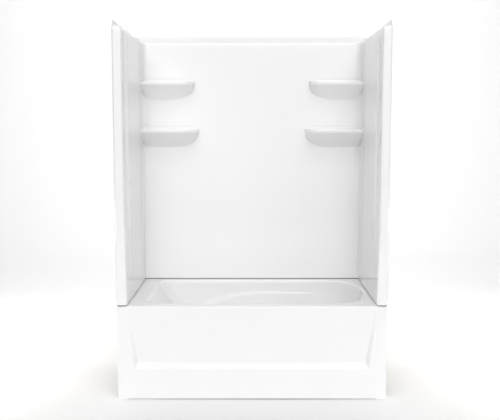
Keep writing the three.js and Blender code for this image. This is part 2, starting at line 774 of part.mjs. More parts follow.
function shelfBody(shelf) {
  const undersideHeight = shelf.topZ - shelfLip - shelf.bottomZ;
  const backY = backWallFaceY + joinLap;
  const seated = (section) => ({
    ...section,
    startX: section.startX > -wrapFaceX ? section.startX : -wrapFaceX - joinLap,
  });
  const rings = shelfHeightShares.map((share) => {
    const height = undersideHeight * share;
    return shelfRing(shelf, seated(shelfSection(shelf, height)), backY, shelf.bottomZ + height, 0);
  });
  const full = seated(shelfSection(shelf, undersideHeight));
  const edged = { ...full, depth: full.depth - shelfEdge, endX: full.endX - shelfEdge };
  rings.push(shelfRing(shelf, full, backY, shelf.topZ - shelfEdge, shelfFallSlope));
  rings.push(shelfRing(shelf, edged, backY, shelf.topZ, shelfFallSlope));
  return loft(rings);
}

// The hollow behind a shelf, open through the back wall and its wrap-round edge.
function shelfHollow(shelf) {
  const undersideHeight = shelf.topZ - shelfLip - shelf.bottomZ;
  const backY = backWallFaceY + wallSkin + cutOverrun;
  const openX = -wrapFaceX - wallSkin - cutOverrun;
  const hollowAt = (height) => {
    const outer = shelfSection(shelf, height);
    return { depth: outer.depth - wallSkin, startX: outer.startX + wallSkin, endX: outer.endX - wallSkin };
  };
  const ring = (height, section, slope) =>
    shelfRing(shelf, section, backY, shelf.bottomZ + height + wallSkin, slope);
  const closedHeights = [shelfHeightShares[1], shelfHeightShares[2]].map((share) => share * undersideHeight);
  const rings = closedHeights.map((height) => ring(height, hollowAt(height), 0));
  rings.push(ring(shelfInnerRadius, hollowAt(shelfInnerRadius), 0));
  const openHeights = [shelfInnerRadius + joinLap, undersideHeight];
  rings.push(...openHeights.map((height) => ring(height, { ...hollowAt(height), startX: openX }, 0)));
  const top = { ...hollowAt(undersideHeight), startX: openX };
  rings.push(ring(undersideHeight + shelfLip - 2 * wallSkin, top, shelfFallSlope));
  return loft(rings);
}

function backWall() {
  const lower = shelves[1];
  const levels = [wallBottomZ, lower.bottomZ + cornerBlend, lower.topZ - cornerBlend];
  const ledgeOutline = [
    ...backWallPath(finishedHeight, ledgeRoll, 0),
    new THREE.Vector2(flangeInnerX, backWallFrontY),
    new THREE.Vector2(flangeInnerX, unitDepth - flangeThickness + joinLap),
    new THREE.Vector2(-flangeInnerX, unitDepth - flangeThickness + joinLap),
    new THREE.Vector2(-flangeInnerX, backWallFrontY),
  ];
  const ledgeZ = finishedHeight - wallSkin;
  const sideFlange = box(-studX, -flangeInnerX + joinLap, backWallFrontY, unitDepth, ledgeZ, unitHeight);
  const leftSeamFlange = seamFlange(wrapFaceX, backWallFrontY);
  const leftShelves = shelves.map(shelfBody);
  const leftHollows = shelves.map(shelfHollow);
  let wall = joined([
    wallSkinBody(backWallPath, levels),
    plate(ledgeOutline, ledgeZ, finishedHeight),
    box(-studX, studX, unitDepth - flangeThickness, unitDepth, ledgeZ, unitHeight),
    sideFlange,
    mirrored(sideFlange),
    leftSeamFlange,
    mirrored(leftSeamFlange),
    ...leftShelves,
    ...leftShelves.map(mirrored),
  ]);
  for (const hollow of leftHollows) wall = wall.subtract(hollow).subtract(mirrored(hollow));
  return wall;
}

// The strip that fills the seam between a wall's foot and the deck, set back a little from the face.
function deckSeal(path) {
  const face = path(wallBottomZ, 0, sealSetback);
  const hidden = path(wallBottomZ, 0, wallSkin - touchGap);
  return plate([...face, ...hidden.reverse()], deckHeight + touchGap, wallBottomZ - touchGap);
}

// The strip between the two flanges of the left seam.
function seamSeal() {
  const fromX = -wrapFaceX - sealSetback;
  let strip = box(
    fromX - seamSealWidth,
    fromX,
    endWallBackY + touchGap,
    backWallFrontY - touchGap,
    seamFlangeBottomZ,
    seamFlangeTopZ,
  );
  for (const z of boltZs) {
    const hole = new THREE.CylinderGeometry(boltHoleRadius, boltHoleRadius, 2 * cutOverrun, boltSides);
    strip = strip.subtract(solid(hole.translate(-boltX, backWallFrontY, z)));
  }
  return strip;
}

// Where the bolts' heads and nuts bear on the flanges.
const boltFrontY = endWallBackY - seamFlangeThickness - touchGap;
const boltBackY = backWallFrontY + seamFlangeThickness + touchGap;

function seamBolt(z) {
  const head = new THREE.CylinderGeometry(boltHeadRadius, boltHeadRadius, boltHeadHeight, hexSides);
  head.translate(-boltX, boltFrontY - boltHeadHeight / 2, z);
  const length = boltBackY + nutHeight + boltEnd - boltFrontY + joinLap;
  const shank = new THREE.CylinderGeometry(boltRadius, boltRadius, length, boltSides);
  shank.translate(-boltX, boltFrontY - joinLap + length / 2, z);
  return solid(head).add(solid(shank));
}

function seamNut(z) {
  const nut = new THREE.CylinderGeometry(boltHeadRadius, boltHeadRadius, nutHeight, hexSides);
  nut.translate(-boltX, boltBackY + nutHeight / 2, z);
  const bore = new THREE.CylinderGeometry(boltHoleRadius, boltHoleRadius, 2 * nutHeight, boltSides);
  bore.translate(-boltX, boltBackY, z);
  return solid(nut).subtract(solid(bore.translate(0, nutHeight / 2, 0)));
}

// Boards bonded to the hidden side of the walls, clear of the shelves' hollows and the end walls' contour.
function backingHeights(rise) {
  const middleZ = deckHeight + rise;
  return [middleZ - backingHeight / 2, middleZ + backingHeight / 2];
}

function backBacking(rise) {
  const frontY = backWallFaceY + wallSkin + touchGap;
  const halfLength = wrapFaceX - lowerShelf.length - backingClearance;
  return box(-halfLength, halfLength, frontY, frontY + backingThickness, ...backingHeights(rise));
}

function endBacking(rise) {
  const innerX = -endWallFaceX - wallSkin - touchGap;
  const frontY = contourBottomY + contourRamp + backingClearance;
  const backY = endWallBackY - backingClearance;
  return box(innerX - backingThickness, innerX, frontY, backY, ...backingHeights(rise));
}

// Materials
const gelcoat = new THREE.MeshStandardMaterial({ color: 0xf7f7f6, roughness: 0.14, metalness: 0 });
const timber = new THREE.MeshStandardMaterial({ color: 0xc9a878, roughness: 0.8, metalness: 0 });
const plywood = new THREE.MeshStandardMaterial({ color: 0xbf9c6c, roughness: 0.75, metalness: 0 });
const foam = new THREE.MeshStandardMaterial({ color: 0x4a4a4c, roughness: 0.9, metalness: 0 });
const zinc = new THREE.MeshStandardMaterial({ color: 0xa9adb0, roughness: 0.35, metalness: 1 });

// The unit, with its pieces grouped as they come apart
const unit = new THREE.Group();
const group = (...members) => {
  const made = new THREE.Group();
  made.add(...members);
  unit.add(made);
};
const piece = (name, body, material) => {
  const mesh = new THREE.Mesh(geometryOf(body), material);
  mesh.name = name;
  return mesh;
};

group(
  piece("tub_shell", tubShell(), gelcoat),
  piece("basin_base_board", basinBaseBoard(), plywood),
  ...Object.entries(runnerXs).map(([side, x]) => piece(`base_runner_${side}`, baseRunner(x), timber)),
  piece("deck_stiffener_front", frontStiffener(), timber),
  piece("deck_stiffener_back", backStiffener(), timber),
  piece("deck_stiffener_left", leftStiffener(), timber),
  piece("deck_stiffener_right_front", rightStiffener(endStiffenerFrontY, overflowGapFrontY), timber),
  piece("deck_stiffener_right_back", rightStiffener(overflowGapBackY, endStiffenerBackY), timber),
  ...Object.entries(braceXs).map(([side, x]) => piece(`apron_brace_${side}`, apronBrace(x), timber)),
);

group(
  piece("back_wall", backWall(), gelcoat),
  piece("deck_seal_back", deckSeal(backWallPath), foam),
  ...Object.entries(backingRises).map(([level, rise]) =>
    piece(`backing_back_${level}`, backBacking(rise), plywood),
  ),
);

for (const [side, place] of [
  ["left", (body) => body],
  ["right", mirrored],
]) {
  group(
    piece(`end_wall_${side}`, place(leftEndWall()), gelcoat),
    piece(`deck_seal_${side}`, place(deckSeal(endWallPath)), foam),
    piece(`seam_seal_${side}`, place(seamSeal()), foam),
    ...Object.entries(backingRises).map(([level, rise]) =>
      piece(`backing_${side}_${level}`, place(endBacking(rise)), plywood),
    ),
    ...boltZs.map((z, i) => piece(`seam_bolt_${side}_${i + 1}`, place(seamBolt(z)), zinc)),
    ...boltZs.map((z, i) => piece(`seam_nut_${side}_${i + 1}`, place(seamNut(z)), zinc)),
  );
}

// The frame's origin is on the floor, under the middle of the unit.
unit.position.y = -unitDepth / 2;

export default unit;
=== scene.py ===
"""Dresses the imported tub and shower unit: four gelcoat mouldings with their smooth curves, timber and boards
behind them, seals and bolts, on a plain pale studio floor. Lengths are metres in the row's frame."""

import math

import bpy
from bpy.props import FloatProperty, FloatVectorProperty, PointerProperty
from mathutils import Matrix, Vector


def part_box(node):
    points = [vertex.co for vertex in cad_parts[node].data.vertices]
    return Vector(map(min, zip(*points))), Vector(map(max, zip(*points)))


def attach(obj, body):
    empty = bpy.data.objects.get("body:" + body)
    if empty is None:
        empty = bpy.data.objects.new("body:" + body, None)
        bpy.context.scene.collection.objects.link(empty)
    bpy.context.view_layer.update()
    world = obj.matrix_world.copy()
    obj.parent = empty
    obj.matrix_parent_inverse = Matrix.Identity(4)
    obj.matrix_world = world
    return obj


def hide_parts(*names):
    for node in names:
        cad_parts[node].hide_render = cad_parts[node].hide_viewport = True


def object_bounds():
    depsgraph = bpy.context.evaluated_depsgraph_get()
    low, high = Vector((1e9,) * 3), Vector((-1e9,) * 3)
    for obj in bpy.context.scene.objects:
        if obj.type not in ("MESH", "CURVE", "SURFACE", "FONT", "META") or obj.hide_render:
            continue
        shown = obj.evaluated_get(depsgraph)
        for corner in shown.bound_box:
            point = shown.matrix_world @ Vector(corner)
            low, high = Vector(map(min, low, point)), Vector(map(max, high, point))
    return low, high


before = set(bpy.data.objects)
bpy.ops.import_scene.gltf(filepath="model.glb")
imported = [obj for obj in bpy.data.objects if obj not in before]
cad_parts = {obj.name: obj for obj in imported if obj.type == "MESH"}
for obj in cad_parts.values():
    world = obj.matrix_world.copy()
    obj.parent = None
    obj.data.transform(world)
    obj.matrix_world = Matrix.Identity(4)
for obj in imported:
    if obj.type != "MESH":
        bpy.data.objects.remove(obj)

bl_info = {
    "name": "Tub and Shower Unit",
    "version": (1, 0, 0),
    "blender": (4, 5, 0),
    "location": "3D View > Sidebar > Shower Unit",
    "description": "Builds a sectional tub and shower unit and the studio round it",
    "category": "Add Mesh",
}

BODY = "root"
QUARTER = math.pi / 2
cad_low, cad_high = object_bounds()
tub_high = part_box("tub_shell")[1]
wall_low, wall_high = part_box("back_wall")


def amount(name, description, default, low=0.0, unit="NONE"):
    return FloatProperty(name=name, description=description, default=default, min=low, unit=unit, precision=4)


def length(name, description, default):
    return amount(name, description, default, 0.0001, "LENGTH")


def colour(name, description, code):
    return FloatVectorProperty(
        name=name, description=description, default=linear(code), size=4, min=0, max=1, subtype="COLOR"
    )


def power(name, description, default):
    return amount(name, description, default, unit="POWER")


def linear(code):
    """An sRGB hex colour as linear red, green, blue and alpha."""
    channels = [int(code[i : i + 2], 16) / 255 for i in (1, 3, 5)]
    return [c / 12.92 if c <= 0.04045 else ((c + 0.055) / 1.055) ** 2.4 for c in channels] + [1.0]


class TubSizes(bpy.types.PropertyGroup):
    deck_height: length("Deck height", "From the floor to the deck", 0.538)
    half_width: length("Half width", "From the middle to the tub's side", tub_high.x)
    skin: length("Skin", "Thickness of the moulding", 0.006)
    deck_roll: length("Deck roll", "Radius between apron and deck", 0.013)
    side_roll_run: length("Side roll run", "How far the sides draw in at the top", 0.010)
    side_roll_height: length("Side roll height", "Height of that curve", 0.060)
    corner_run: length("Corner run", "Width of the apron's rounded corners", 0.045)
    corner_depth: length("Corner depth", "Depth of the apron's rounded corners", 0.016)
    recess_foot: length("Recess foot", "Height of the recess's sloping ledge", 0.181)
    recess_top: length("Recess top", "Height where the recess fades out", 0.505)
    recess_end_depth: length("Recess end depth", "Depth of the recess at its ends", 0.030)
    recess_middle_depth: length("Recess middle depth", "Depth of the recess in its middle", 0.021)
    rim_radius: length("Rim radius", "Roll between deck and basin", 0.014)
    floor_radius: length("Floor radius", "Turn from the basin's walls to its floor", 0.060)
    armrest_width: length("Armrest width", "Widest part of the armrests", 0.028)
    drain_radius: length("Drain radius", "Radius of the drain hole", 0.025)
    overflow_radius: length("Overflow radius", "Radius of the overflow hole", 0.026)


class WallSizes(bpy.types.PropertyGroup):
    top: length("Top", "From the floor to the top of the walls", 2.079)
    foot: length("Foot", "From the floor to the foot of the walls", wall_low.z)
    skin: length("Skin", "Thickness of the mouldings", 0.005)
    face_x: length("Face from middle", "From the middle to an end wall's face", 0.699)
    face_y: length("Back wall's face", "From the apron's face to the back wall's", 0.790)
    column_radius: length("Column radius", "Radius of the front column's inner edge", 0.009)
    contour_depth: length("Contour depth", "Depth of the strip in front of the contour", 0.009)
    ledge_roll: length("Ledge roll", "Radius at the top of the walls", 0.020)
    shelf_lip: length("Shelf lip", "Height of a shelf's front edge", 0.020)


class Finishes(bpy.types.PropertyGroup):
    gelcoat: colour("Gelcoat", "Glossy face of the mouldings", "#f8f8f8")
    laminate: colour("Laminate", "Rough glass-fibre back of the mouldings", "#d9d6bf")
    timber: colour("Timber", "Sawn softwood under the tub", "#d3ac74")
    plywood: colour("Plywood", "Boards behind the walls", "#c9a06a")
    foam: colour("Foam", "Seal strips", "#7c7d80")
    zinc: colour("Zinc", "Plated bolts and nuts", "#c3c7ca")
    floor: colour("Floor", "Studio floor", "#fbfbfb")


class StudioSettings(bpy.types.PropertyGroup):
    front_power: power("Front light", "Power of the wide light above the camera", 15.0)
    high_power: power("High light", "Power of the long narrow light high in front", 41.0)
    low_power: power("Low light", "Power of the light near the floor in front", 40.0)
    top_power: power("Top light", "Power of the light overhead", 20.0)
    rear_power: power("Rear light", "Power of the light overhead behind the unit", 16.0)
    floor_power: power("Floor light", "Power of the light on the floor in front", 98.0)
    beside_power: power("Side floor lights", "Power of the lights on the floor beside the unit", 18.0)
    backdrop_power: power("Backdrop light", "Power of the light on the backdrop", 262.0)
    key_strength: amount("Key light", "Strength of the broad far light in front", 0.65)
    side_strength: amount("Side light", "Strength of the far light on the right", 0.21)
    world_strength: amount("World", "Strength of the even light", 0.01)
    surround_strength: amount("Surround", "How bright the studio looks past its floor", 0.62)


def at(x, y, z):
    """A place measured from the apron's face, as one in the row's frame."""
    return (x, y + cad_low.y, z)


def tub_sizes():
    return bpy.context.scene.tub_sizes


def wall_sizes():
    return bpy.context.scene.wall_sizes


def lerp(a, b, share):
    """The value that lies this share of the way from a to b."""
    return a + (b - a) * share


def share_of(value):
    """The value held between 0 and 1."""
    return min(1.0, max(0.0, value))


def eased(share):
    """A share that leaves 0 gently and reaches 1 gently."""
    return share * share * (3 - 2 * share)


def steps(low, high, count):
    """Evenly spaced values from low to high, both included."""
    return [lerp(low, high, i / count) for i in range(count + 1)]


def arc(x, y, across, along, start, end, count):
    """Points on an ellipse's arc, from one angle to another."""
    return [(x + across * math.cos(t), y + along * math.sin(t)) for t in steps(start, end, count)]


def smooth_max(a, b, width):
    """The larger value, eased over this width where the two are nearly equal."""
    spread = max(width - abs(a - b), 0.0) / width
    return max(a, b) + spread * spread * width / 4


def smooth_min(a, b, width):
    return -smooth_max(-a, -b, width)


def mix(a, b, share):
    """The place that lies this share of the way from a to b."""
    return [lerp(p, q, share) for p, q in zip(a, b)]


OUTER_CUT, INNER_CUT = 0.96, 0.48
SHORTEST = 1e-6


def rounded(corners, cuts, counts):
    """Points along a line of corners, each inner corner eased by a curve that starts cuts before it. counts
    gives how many points each curve has. A curve takes at most OUTER_CUT of a stretch that it has to itself,
    and INNER_CUT of one that it shares with the next curve."""
    points = [corners[0]]
    gaps = [math.dist(a, b) for a, b in zip(corners, corners[1:])]
    for i, (cut, count) in enumerate(zip(cuts, counts), 1):
        most_before = OUTER_CUT if i == 1 else INNER_CUT
        most_after = OUTER_CUT if i == len(cuts) else INNER_CUT
        before = mix(corners[i], corners[i - 1], min(most_before, cut / max(gaps[i - 1], SHORTEST)))
        after = mix(corners[i], corners[i + 1], min(most_after, cut / max(gaps[i], SHORTEST)))
        for share in steps(0, 1, count - 1):
            points.append(mix(mix(before, corners[i], share), mix(corners[i], after, share), share))
    return points + [corners[-1]]


# ---- work by hand in the 3D view ----


def deselect():
    if bpy.context.object and bpy.context.object.mode != "OBJECT":
        bpy.ops.object.mode_set(mode="OBJECT")
    bpy.ops.object.select_all(action="DESELECT")


def hold(piece):
    """Makes a piece the only one selected."""
    deselect()
    piece.select_set(True)
    bpy.context.view_layer.objects.active = piece


def sheet(name, rows, closed=False):
    """Adds a grid and moves each of its points to its place in rows. A closed one meets itself at the ends
    of its rows."""
    deselect()
    bpy.ops.mesh.primitive_grid_add(x_subdivisions=len(rows[0]) - 1, y_subdivisions=len(rows) - 1, size=1)
    piece = bpy.context.object
    piece.name = name
    piece.data.vertices.foreach_set("co", [c for row in rows for point in row for c in point])
    piece.data.update()
    if closed:
        bpy.ops.object.mode_set(mode="EDIT")
        bpy.ops.mesh.select_all(action="SELECT")
        bpy.ops.mesh.remove_doubles(threshold=SHORTEST)
        bpy.ops.object.mode_set(mode="OBJECT")
    return piece


def settle(name):
    """Names the piece just made and works its place, turn and size into its mesh."""
    piece = bpy.context.object
    piece.name = name
    bpy.ops.object.transform_apply()
    return piece


def face_out(piece):
    """Turns a closed piece's faces outwards."""
    hold(piece)
    bpy.ops.object.mode_set(mode="EDIT")
    bpy.ops.mesh.select_all(action="SELECT")
    bpy.ops.mesh.normals_make_consistent(inside=False)
    bpy.ops.object.mode_set(mode="OBJECT")
    return piece


def body_of_rings(name, rings):
    """A closed body through rings of points, each ring the same way round, with both ends filled."""
    piece = sheet(name, [ring + ring[:1] for ring in rings], closed=True)
    bpy.ops.object.mode_set(mode="EDIT")
    bpy.ops.mesh.select_all(action="DESELECT")
    bpy.ops.mesh.select_non_manifold()
    bpy.ops.mesh.fill_holes(sides=0)
    return face_out(piece)


def block(name, low, high):
    """A box between two corners, as a cube added at its size and place."""
    deselect()
    size = [abs(b - a) for a, b in zip(low, high)]
    bpy.ops.mesh.primitive_cube_add(size=1, location=mix(low, high, 0.5), scale=size)
    return settle(name)


def round_bar(name, radius, start, end, sides):
    """A round bar between two places on one axis."""
    deselect()
    a, b = Vector(start), Vector(end)
    turn = (b - a).to_track_quat("Z", "Y").to_euler()
    bpy.ops.mesh.primitive_cylinder_add(
        vertices=sides, radius=radius, depth=(b - a).length, location=(a + b) / 2, rotation=turn
    )
    return settle(name)


def plate(name, outline, low, high):
    """A flat plate with this outline, from one height to another."""
    return body_of_rings(name, [[at(x, y, z) for x, y in outline] for z in (low, high)])


def apply(piece, kind, **settings):
    """Adds a modifier with its settings and applies it."""
    hold(piece)
    modifier = piece.modifiers.new(kind.lower(), kind)
    for key, value in settings.items():
        setattr(modifier, key, value)
    bpy.ops.object.modifier_apply(modifier=modifier.name)
    return piece


def discard(piece):
    """Takes a piece and its mesh away."""
    mesh = piece.data
    bpy.data.objects.remove(piece)
    bpy.data.meshes.remove(mesh)


def combine(piece, tool, operation):
    """Joins a tool to a piece or cuts it out, and takes the tool away."""
    apply(piece, "BOOLEAN", operation=operation, solver="MANIFOLD", object=tool, material_mode="TRANSFER")
    discard(tool)


TUB_ANGLE, WALL_ANGLE, EDGE_ANGLE, FLOOR_ANGLE = 35, 32, 30, 60


def smooth(piece, degrees):
    """Shades a piece smooth, except where its faces meet at more than this angle."""
    hold(piece)
    bpy.ops.object.shade_smooth_by_angle(angle=math.radians(degrees))


def finish_piece(piece, slot, *nodes):
    """Says what the piece rides on and hides the solids it stands for. slot, its finish, is not used."""
    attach(piece, BODY)
    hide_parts(*nodes)


# ---- materials ----


GELCOAT, LAMINATE = "moulded white gelcoat", "rolled glass-fibre laminate"


def node(tree, kind, settings=None, **inputs):
    """Adds a node with its settings and its inputs: values, or sockets to link from. A node that is there
    already may stand in place of a kind, and then only gets these."""
    made = tree.nodes.new(kind) if isinstance(kind, str) else kind
    for key, value in (settings or {}).items():
        setattr(made, key, value)
    for key, value in inputs.items():
        socket = made.inputs[int(key[1:]) if key[0] == "i" and key[1:].isdigit() else key.replace("_", " ")]
        if isinstance(value, bpy.types.NodeSocket):
            tree.links.new(value, socket)
        else:
            socket.default_value = value
    return made


def finish(name):
    """A new material with its node tree, its shader, and the object coordinates that its patterns follow."""
    material = bpy.data.materials.new(name)
    material.use_nodes = True
    tree = material.node_tree
    shader = next(n for n in tree.nodes if n.type == "BSDF_PRINCIPLED")
    return material, tree, shader, node(tree, "ShaderNodeTexCoord").outputs["Object"]


def shades(tree, factor, stops):
    """Colours along a factor: pairs of place and linear colour."""
    ramp = node(tree, "ShaderNodeValToRGB", i0=factor)
    band = ramp.color_ramp
    while len(band.elements) < len(stops):
        band.elements.new(0.5)
    for element, (position, value) in zip(band.elements, stops):
        element.position = position
        element.color = value
    return ramp.outputs["Color"]


def darker(value, share):
    return [c * share for c in value[:3]] + [1.0]


def gelcoat():
    """White polyester gelcoat, sprayed in a polished mould: a deep gloss with a very slight waviness."""
    material, tree, shader, place = finish(GELCOAT)
    base = bpy.context.scene.unit_finishes.gelcoat
    cloud = node(tree, "ShaderNodeTexNoise", Vector=place, Scale=1.4, Detail=2.0, Roughness=0.4)
    tint = shades(tree, cloud.outputs["Fac"], [(0.3, darker(base, 0.992)), (0.7, base)])
    wave = node(tree, "ShaderNodeTexNoise", Vector=place, Scale=22.0, Detail=1.0, Roughness=0.3)
    bump = node(tree, "ShaderNodeBump", Height=wave.outputs["Fac"], Strength=0.05, Distance=0.0004)
    gloss = node(tree, "ShaderNodeTexNoise", Vector=place, Scale=6.0, Detail=3.0)
    rough = node(tree, "ShaderNodeMapRange", i0=gloss.outputs["Fac"], i3=0.10, i4=0.15)
    node(tree, shader, Base_Color=tint, Normal=bump.outputs[0], Roughness=rough.outputs[0], IOR=1.52)
    return material


def laminate():
    """Chopped strand glass mat in polyester, rolled out by hand: pale straw with strands and resin ridges."""
    material, tree, shader, place = finish(LAMINATE)
    base = bpy.context.scene.unit_finishes.laminate
    strands = []
    for turn in (0.3, 1.25, 2.3):
        turns = (turn, turn * 0.7, turn)
        mapping = node(tree, "ShaderNodeMapping", Vector=place, Rotation=turns, Scale=(18, 160, 160))
        noise = node(tree, "ShaderNodeTexNoise", Vector=mapping.outputs[0], Scale=1.0, Detail=2.0)
        strands.append(noise.outputs["Fac"])
    first = node(tree, "ShaderNodeMath", {"operation": "MAXIMUM"}, i0=strands[0], i1=strands[1])
    both = node(tree, "ShaderNodeMath", {"operation": "MAXIMUM"}, i0=first.outputs[0], i1=strands[2])
    tint = shades(tree, both.outputs[0], [(0.5, darker(base, 0.72)), (0.75, base)])
    bump = node(tree, "ShaderNodeBump", Height=both.outputs[0], Strength=0.6, Distance=0.0015)
    node(tree, shader, Base_Color=tint, Normal=bump.outputs[0], Roughness=0.42, IOR=1.55)
    return material


# ---- the tub ----


def side_roll(z):
    """How far the tub's sides draw in at a height near the deck."""
    sizes = tub_sizes()
    share = share_of((z - sizes.deck_height + sizes.side_roll_height) / sizes.side_roll_height)
    return sizes.side_roll_run * (1 - math.sqrt(1 - share * share))


RECESS_FOOT_HALF, RECESS_TOP_HALF = 0.661, 0.693
RECESS_SIDE_SLOPE, RECESS_EASE = 1.43, 0.005


def recess_depth(x):
    """The recess's depth at its deepest row, bowed across the apron."""
    sizes = tub_sizes()
    rise = sizes.recess_end_depth - sizes.recess_middle_depth
    return sizes.recess_middle_depth + rise * (x / RECESS_FOOT_HALF) ** 2


def recess_edge(z):
    """Half the recess's width at a height."""
    sizes = tub_sizes()
    share = share_of((z - sizes.recess_foot) / (sizes.recess_top - sizes.recess_foot))
    return lerp(RECESS_FOOT_HALF, RECESS_TOP_HALF, share)


def apron_y(x, z):
    """How far the apron's face lies behind its plane: ledge, sides and face of the recess, eased together."""
    sizes = tub_sizes()
    deep = recess_depth(min(abs(x), RECESS_FOOT_HALF))
    run = sizes.recess_top - sizes.recess_foot - deep
    face = deep * (sizes.recess_top - z) / run
    side = (recess_edge(z) - abs(x)) * RECESS_SIDE_SLOPE
    ledge = z - sizes.recess_foot
    depth = smooth_min(smooth_min(ledge, face, RECESS_EASE), side, RECESS_EASE)
    return smooth_max(depth, 0.0, RECESS_EASE)


RIM_LEFT, RIM_RIGHT, RIM_FRONT, RIM_BACK = -0.590, 0.673, 0.075, 0.735
BASIN_FLOOR, WALL_TOP = 0.1136, 0.524
LEFT_CORNER_RADIUS, LEFT_END_BOW = 0.070, 0.005
DRAIN_END_RUN, DRAIN_END_EXPONENT = 0.250, 2.5
BACKREST_RUN, WALL_RUN = 0.277, 0.045
DRAIN_X, DRAIN_Y = 0.520, (RIM_FRONT + RIM_BACK) / 2
OVERFLOW_Z = 0.498
LEFT_CORNER_STEPS, LEFT_END_STEPS, LONG_SIDE_STEPS, DRAIN_END_STEPS, FLOOR_STEPS = 14, 14, 46, 26, 4


def basin_plan(share, extra):
    """Plan of the basin at one depth, from the back left corner round by the front. Each point has how far it
    takes part in the armrest, and which way the armrest stands out there."""
    left = RIM_LEFT + BACKREST_RUN * share + extra
    right = RIM_RIGHT - WALL_RUN * share - extra
    front = RIM_FRONT + WALL_RUN * share + extra
    back = RIM_BACK - WALL_RUN * share - extra
    r, count = LEFT_CORNER_RADIUS, LEFT_CORNER_STEPS
    corner = arc(left + r, back - r, r, r, QUARTER, 2 * QUARTER, count)
    plan = [(x, y, 1 - i / count, -1) for i, (x, y) in enumerate(corner)]
    for along in steps(0, 1, LEFT_END_STEPS)[1:-1]:
        plan.append((left + LEFT_END_BOW * math.sin(math.pi * along), lerp(back - r, front + r, along), 0, 0))
    corner = arc(left + r, front + r, r, r, 2 * QUARTER, 3 * QUARTER, count)
    plan += [(x, y, i / count, 1) for i, (x, y) in enumerate(corner)]
    end = right - DRAIN_END_RUN
    places = steps(left + r, end, LONG_SIDE_STEPS)[1:-1]
    plan += [(x, front, 1, 1) for x in places]
    for turn in steps(-QUARTER, QUARTER, 2 * DRAIN_END_STEPS):
        run = abs(math.cos(turn)) ** (2 / DRAIN_END_EXPONENT)
        rise = math.copysign(abs(math.sin(turn)) ** (2 / DRAIN_END_EXPONENT), turn)
        plan.append((end + DRAIN_END_RUN * run, DRAIN_Y + (back - front) / 2 * rise, 1, -rise))
    return plan + [(x, back, 1, -1) for x in reversed(places)]


ARMREST_X, ARMREST_Z = 0.078, 0.466
DRAIN_SIDE_RUN, DRAIN_SIDE_FALL = 0.359, 0.010
HEAD_SIDE_RUN, HEAD_SIDE_FALL, HEAD_SIDE_POWER = 0.430, 0.090, 2.45
ARMREST_TAPERS = ((0.430, 0.520), (-0.090, 0.210))


def armrest_z(x):
    """Height of the armrest: highest at ARMREST_X, with a slight fall to the drain and a steeper one to the
    backrest."""
    if x > ARMREST_X:
        return ARMREST_Z - DRAIN_SIDE_FALL * (x - ARMREST_X) / DRAIN_SIDE_RUN
    return ARMREST_Z - HEAD_SIDE_FALL * ((ARMREST_X - x) / HEAD_SIDE_RUN) ** HEAD_SIDE_POWER


def armrest_width(x):
    """Each of two tapers gives half of the width: it starts at a place and is complete a run to the left."""
    half = tub_sizes().armrest_width / 2
    return sum(half * share_of((start - x) / run) for start, run in ARMREST_TAPERS)


CREASE_START = 0.310
CREASE_TRIES = 6
SHOULDER_FALL, SHOULDER_GAP = 0.7, 0.002
ARMREST_EASE = 0.005
DECK_MARGIN, FLOOR_MARGIN = 0.032, 0.002
BASIN_POINTS = (9, 6, 6, 13)


def basin_column(top, bottom, outer, inner):
    """One line of points from the floor up the basin's wall and over the rim to the deck. Its places in four
    plans are given: at the rim, at the wall's foot, on the deck and on the floor."""
    sizes = tub_sizes()
    part, side = top[2:]

    def on_wall(z, width=0.0):
        share = (WALL_TOP - z) / (WALL_TOP - BASIN_FLOOR)
        return [lerp(top[0], bottom[0], share), lerp(top[1], bottom[1], share) + width * side, z]

    crease_z = CREASE_START
    for _ in range(CREASE_TRIES):  # the height follows x, and x follows the height up the sloping wall
        crease_z = lerp(CREASE_START, armrest_z(on_wall(crease_z)[0]), part)
    crease = on_wall(crease_z)
    width = armrest_width(crease[0]) * part
    floor_width = armrest_width(bottom[0]) * part
    line = [
        [outer[0], outer[1], sizes.deck_height],
        on_wall(sizes.deck_height),
        crease,
        on_wall(crease_z - SHOULDER_FALL * width - SHOULDER_GAP, width),
        on_wall(BASIN_FLOOR, floor_width),
        [inner[0], inner[1] + floor_width * side, BASIN_FLOOR],
    ]
    cuts = (sizes.rim_radius, ARMREST_EASE, ARMREST_EASE, sizes.floor_radius)
    return rounded(line, cuts, BASIN_POINTS)[::-1]


DRAIN_SEAT_DEPTH = 0.003
DRAIN_SEAT = [(0.0366, DRAIN_SEAT_DEPTH), (0.0376, 0.0022), (0.0384, 0.0006), (0.0394, 0), (0.0414, 0)]


def drain_rows(floor_edge):
    """Rings from the edge of the drain hole over its seat and across the floor. The seat's rings are given as
    radius and depth."""
    rows = []
    for radius, depth in [(tub_sizes().drain_radius, DRAIN_SEAT_DEPTH)] + DRAIN_SEAT:
        ring = []
        for x, y, _ in floor_edge:
            share = radius / math.hypot(x - DRAIN_X, y - DRAIN_Y)
            ring.append([lerp(DRAIN_X, x, share), lerp(DRAIN_Y, y, share), BASIN_FLOOR - depth])
        rows.append(ring)
    edge = rows[-1]
    return rows + [[mix(a, b, s) for a, b in zip(edge, floor_edge)] for s in steps(0, 1, FLOOR_STEPS)[1:-1]]


def basin_rows():
    """Rows of points from the edge of the drain hole up the basin's walls to the deck."""
    plans = (
        basin_plan(0, 0),
        basin_plan(1, 0),
        basin_plan(0, -DECK_MARGIN),
        basin_plan(1, tub_sizes().floor_radius + FLOOR_MARGIN),
    )
    rows = [list(row) for row in zip(*(basin_column(*places) for places in zip(*plans)))]
    return drain_rows(rows[0]) + rows


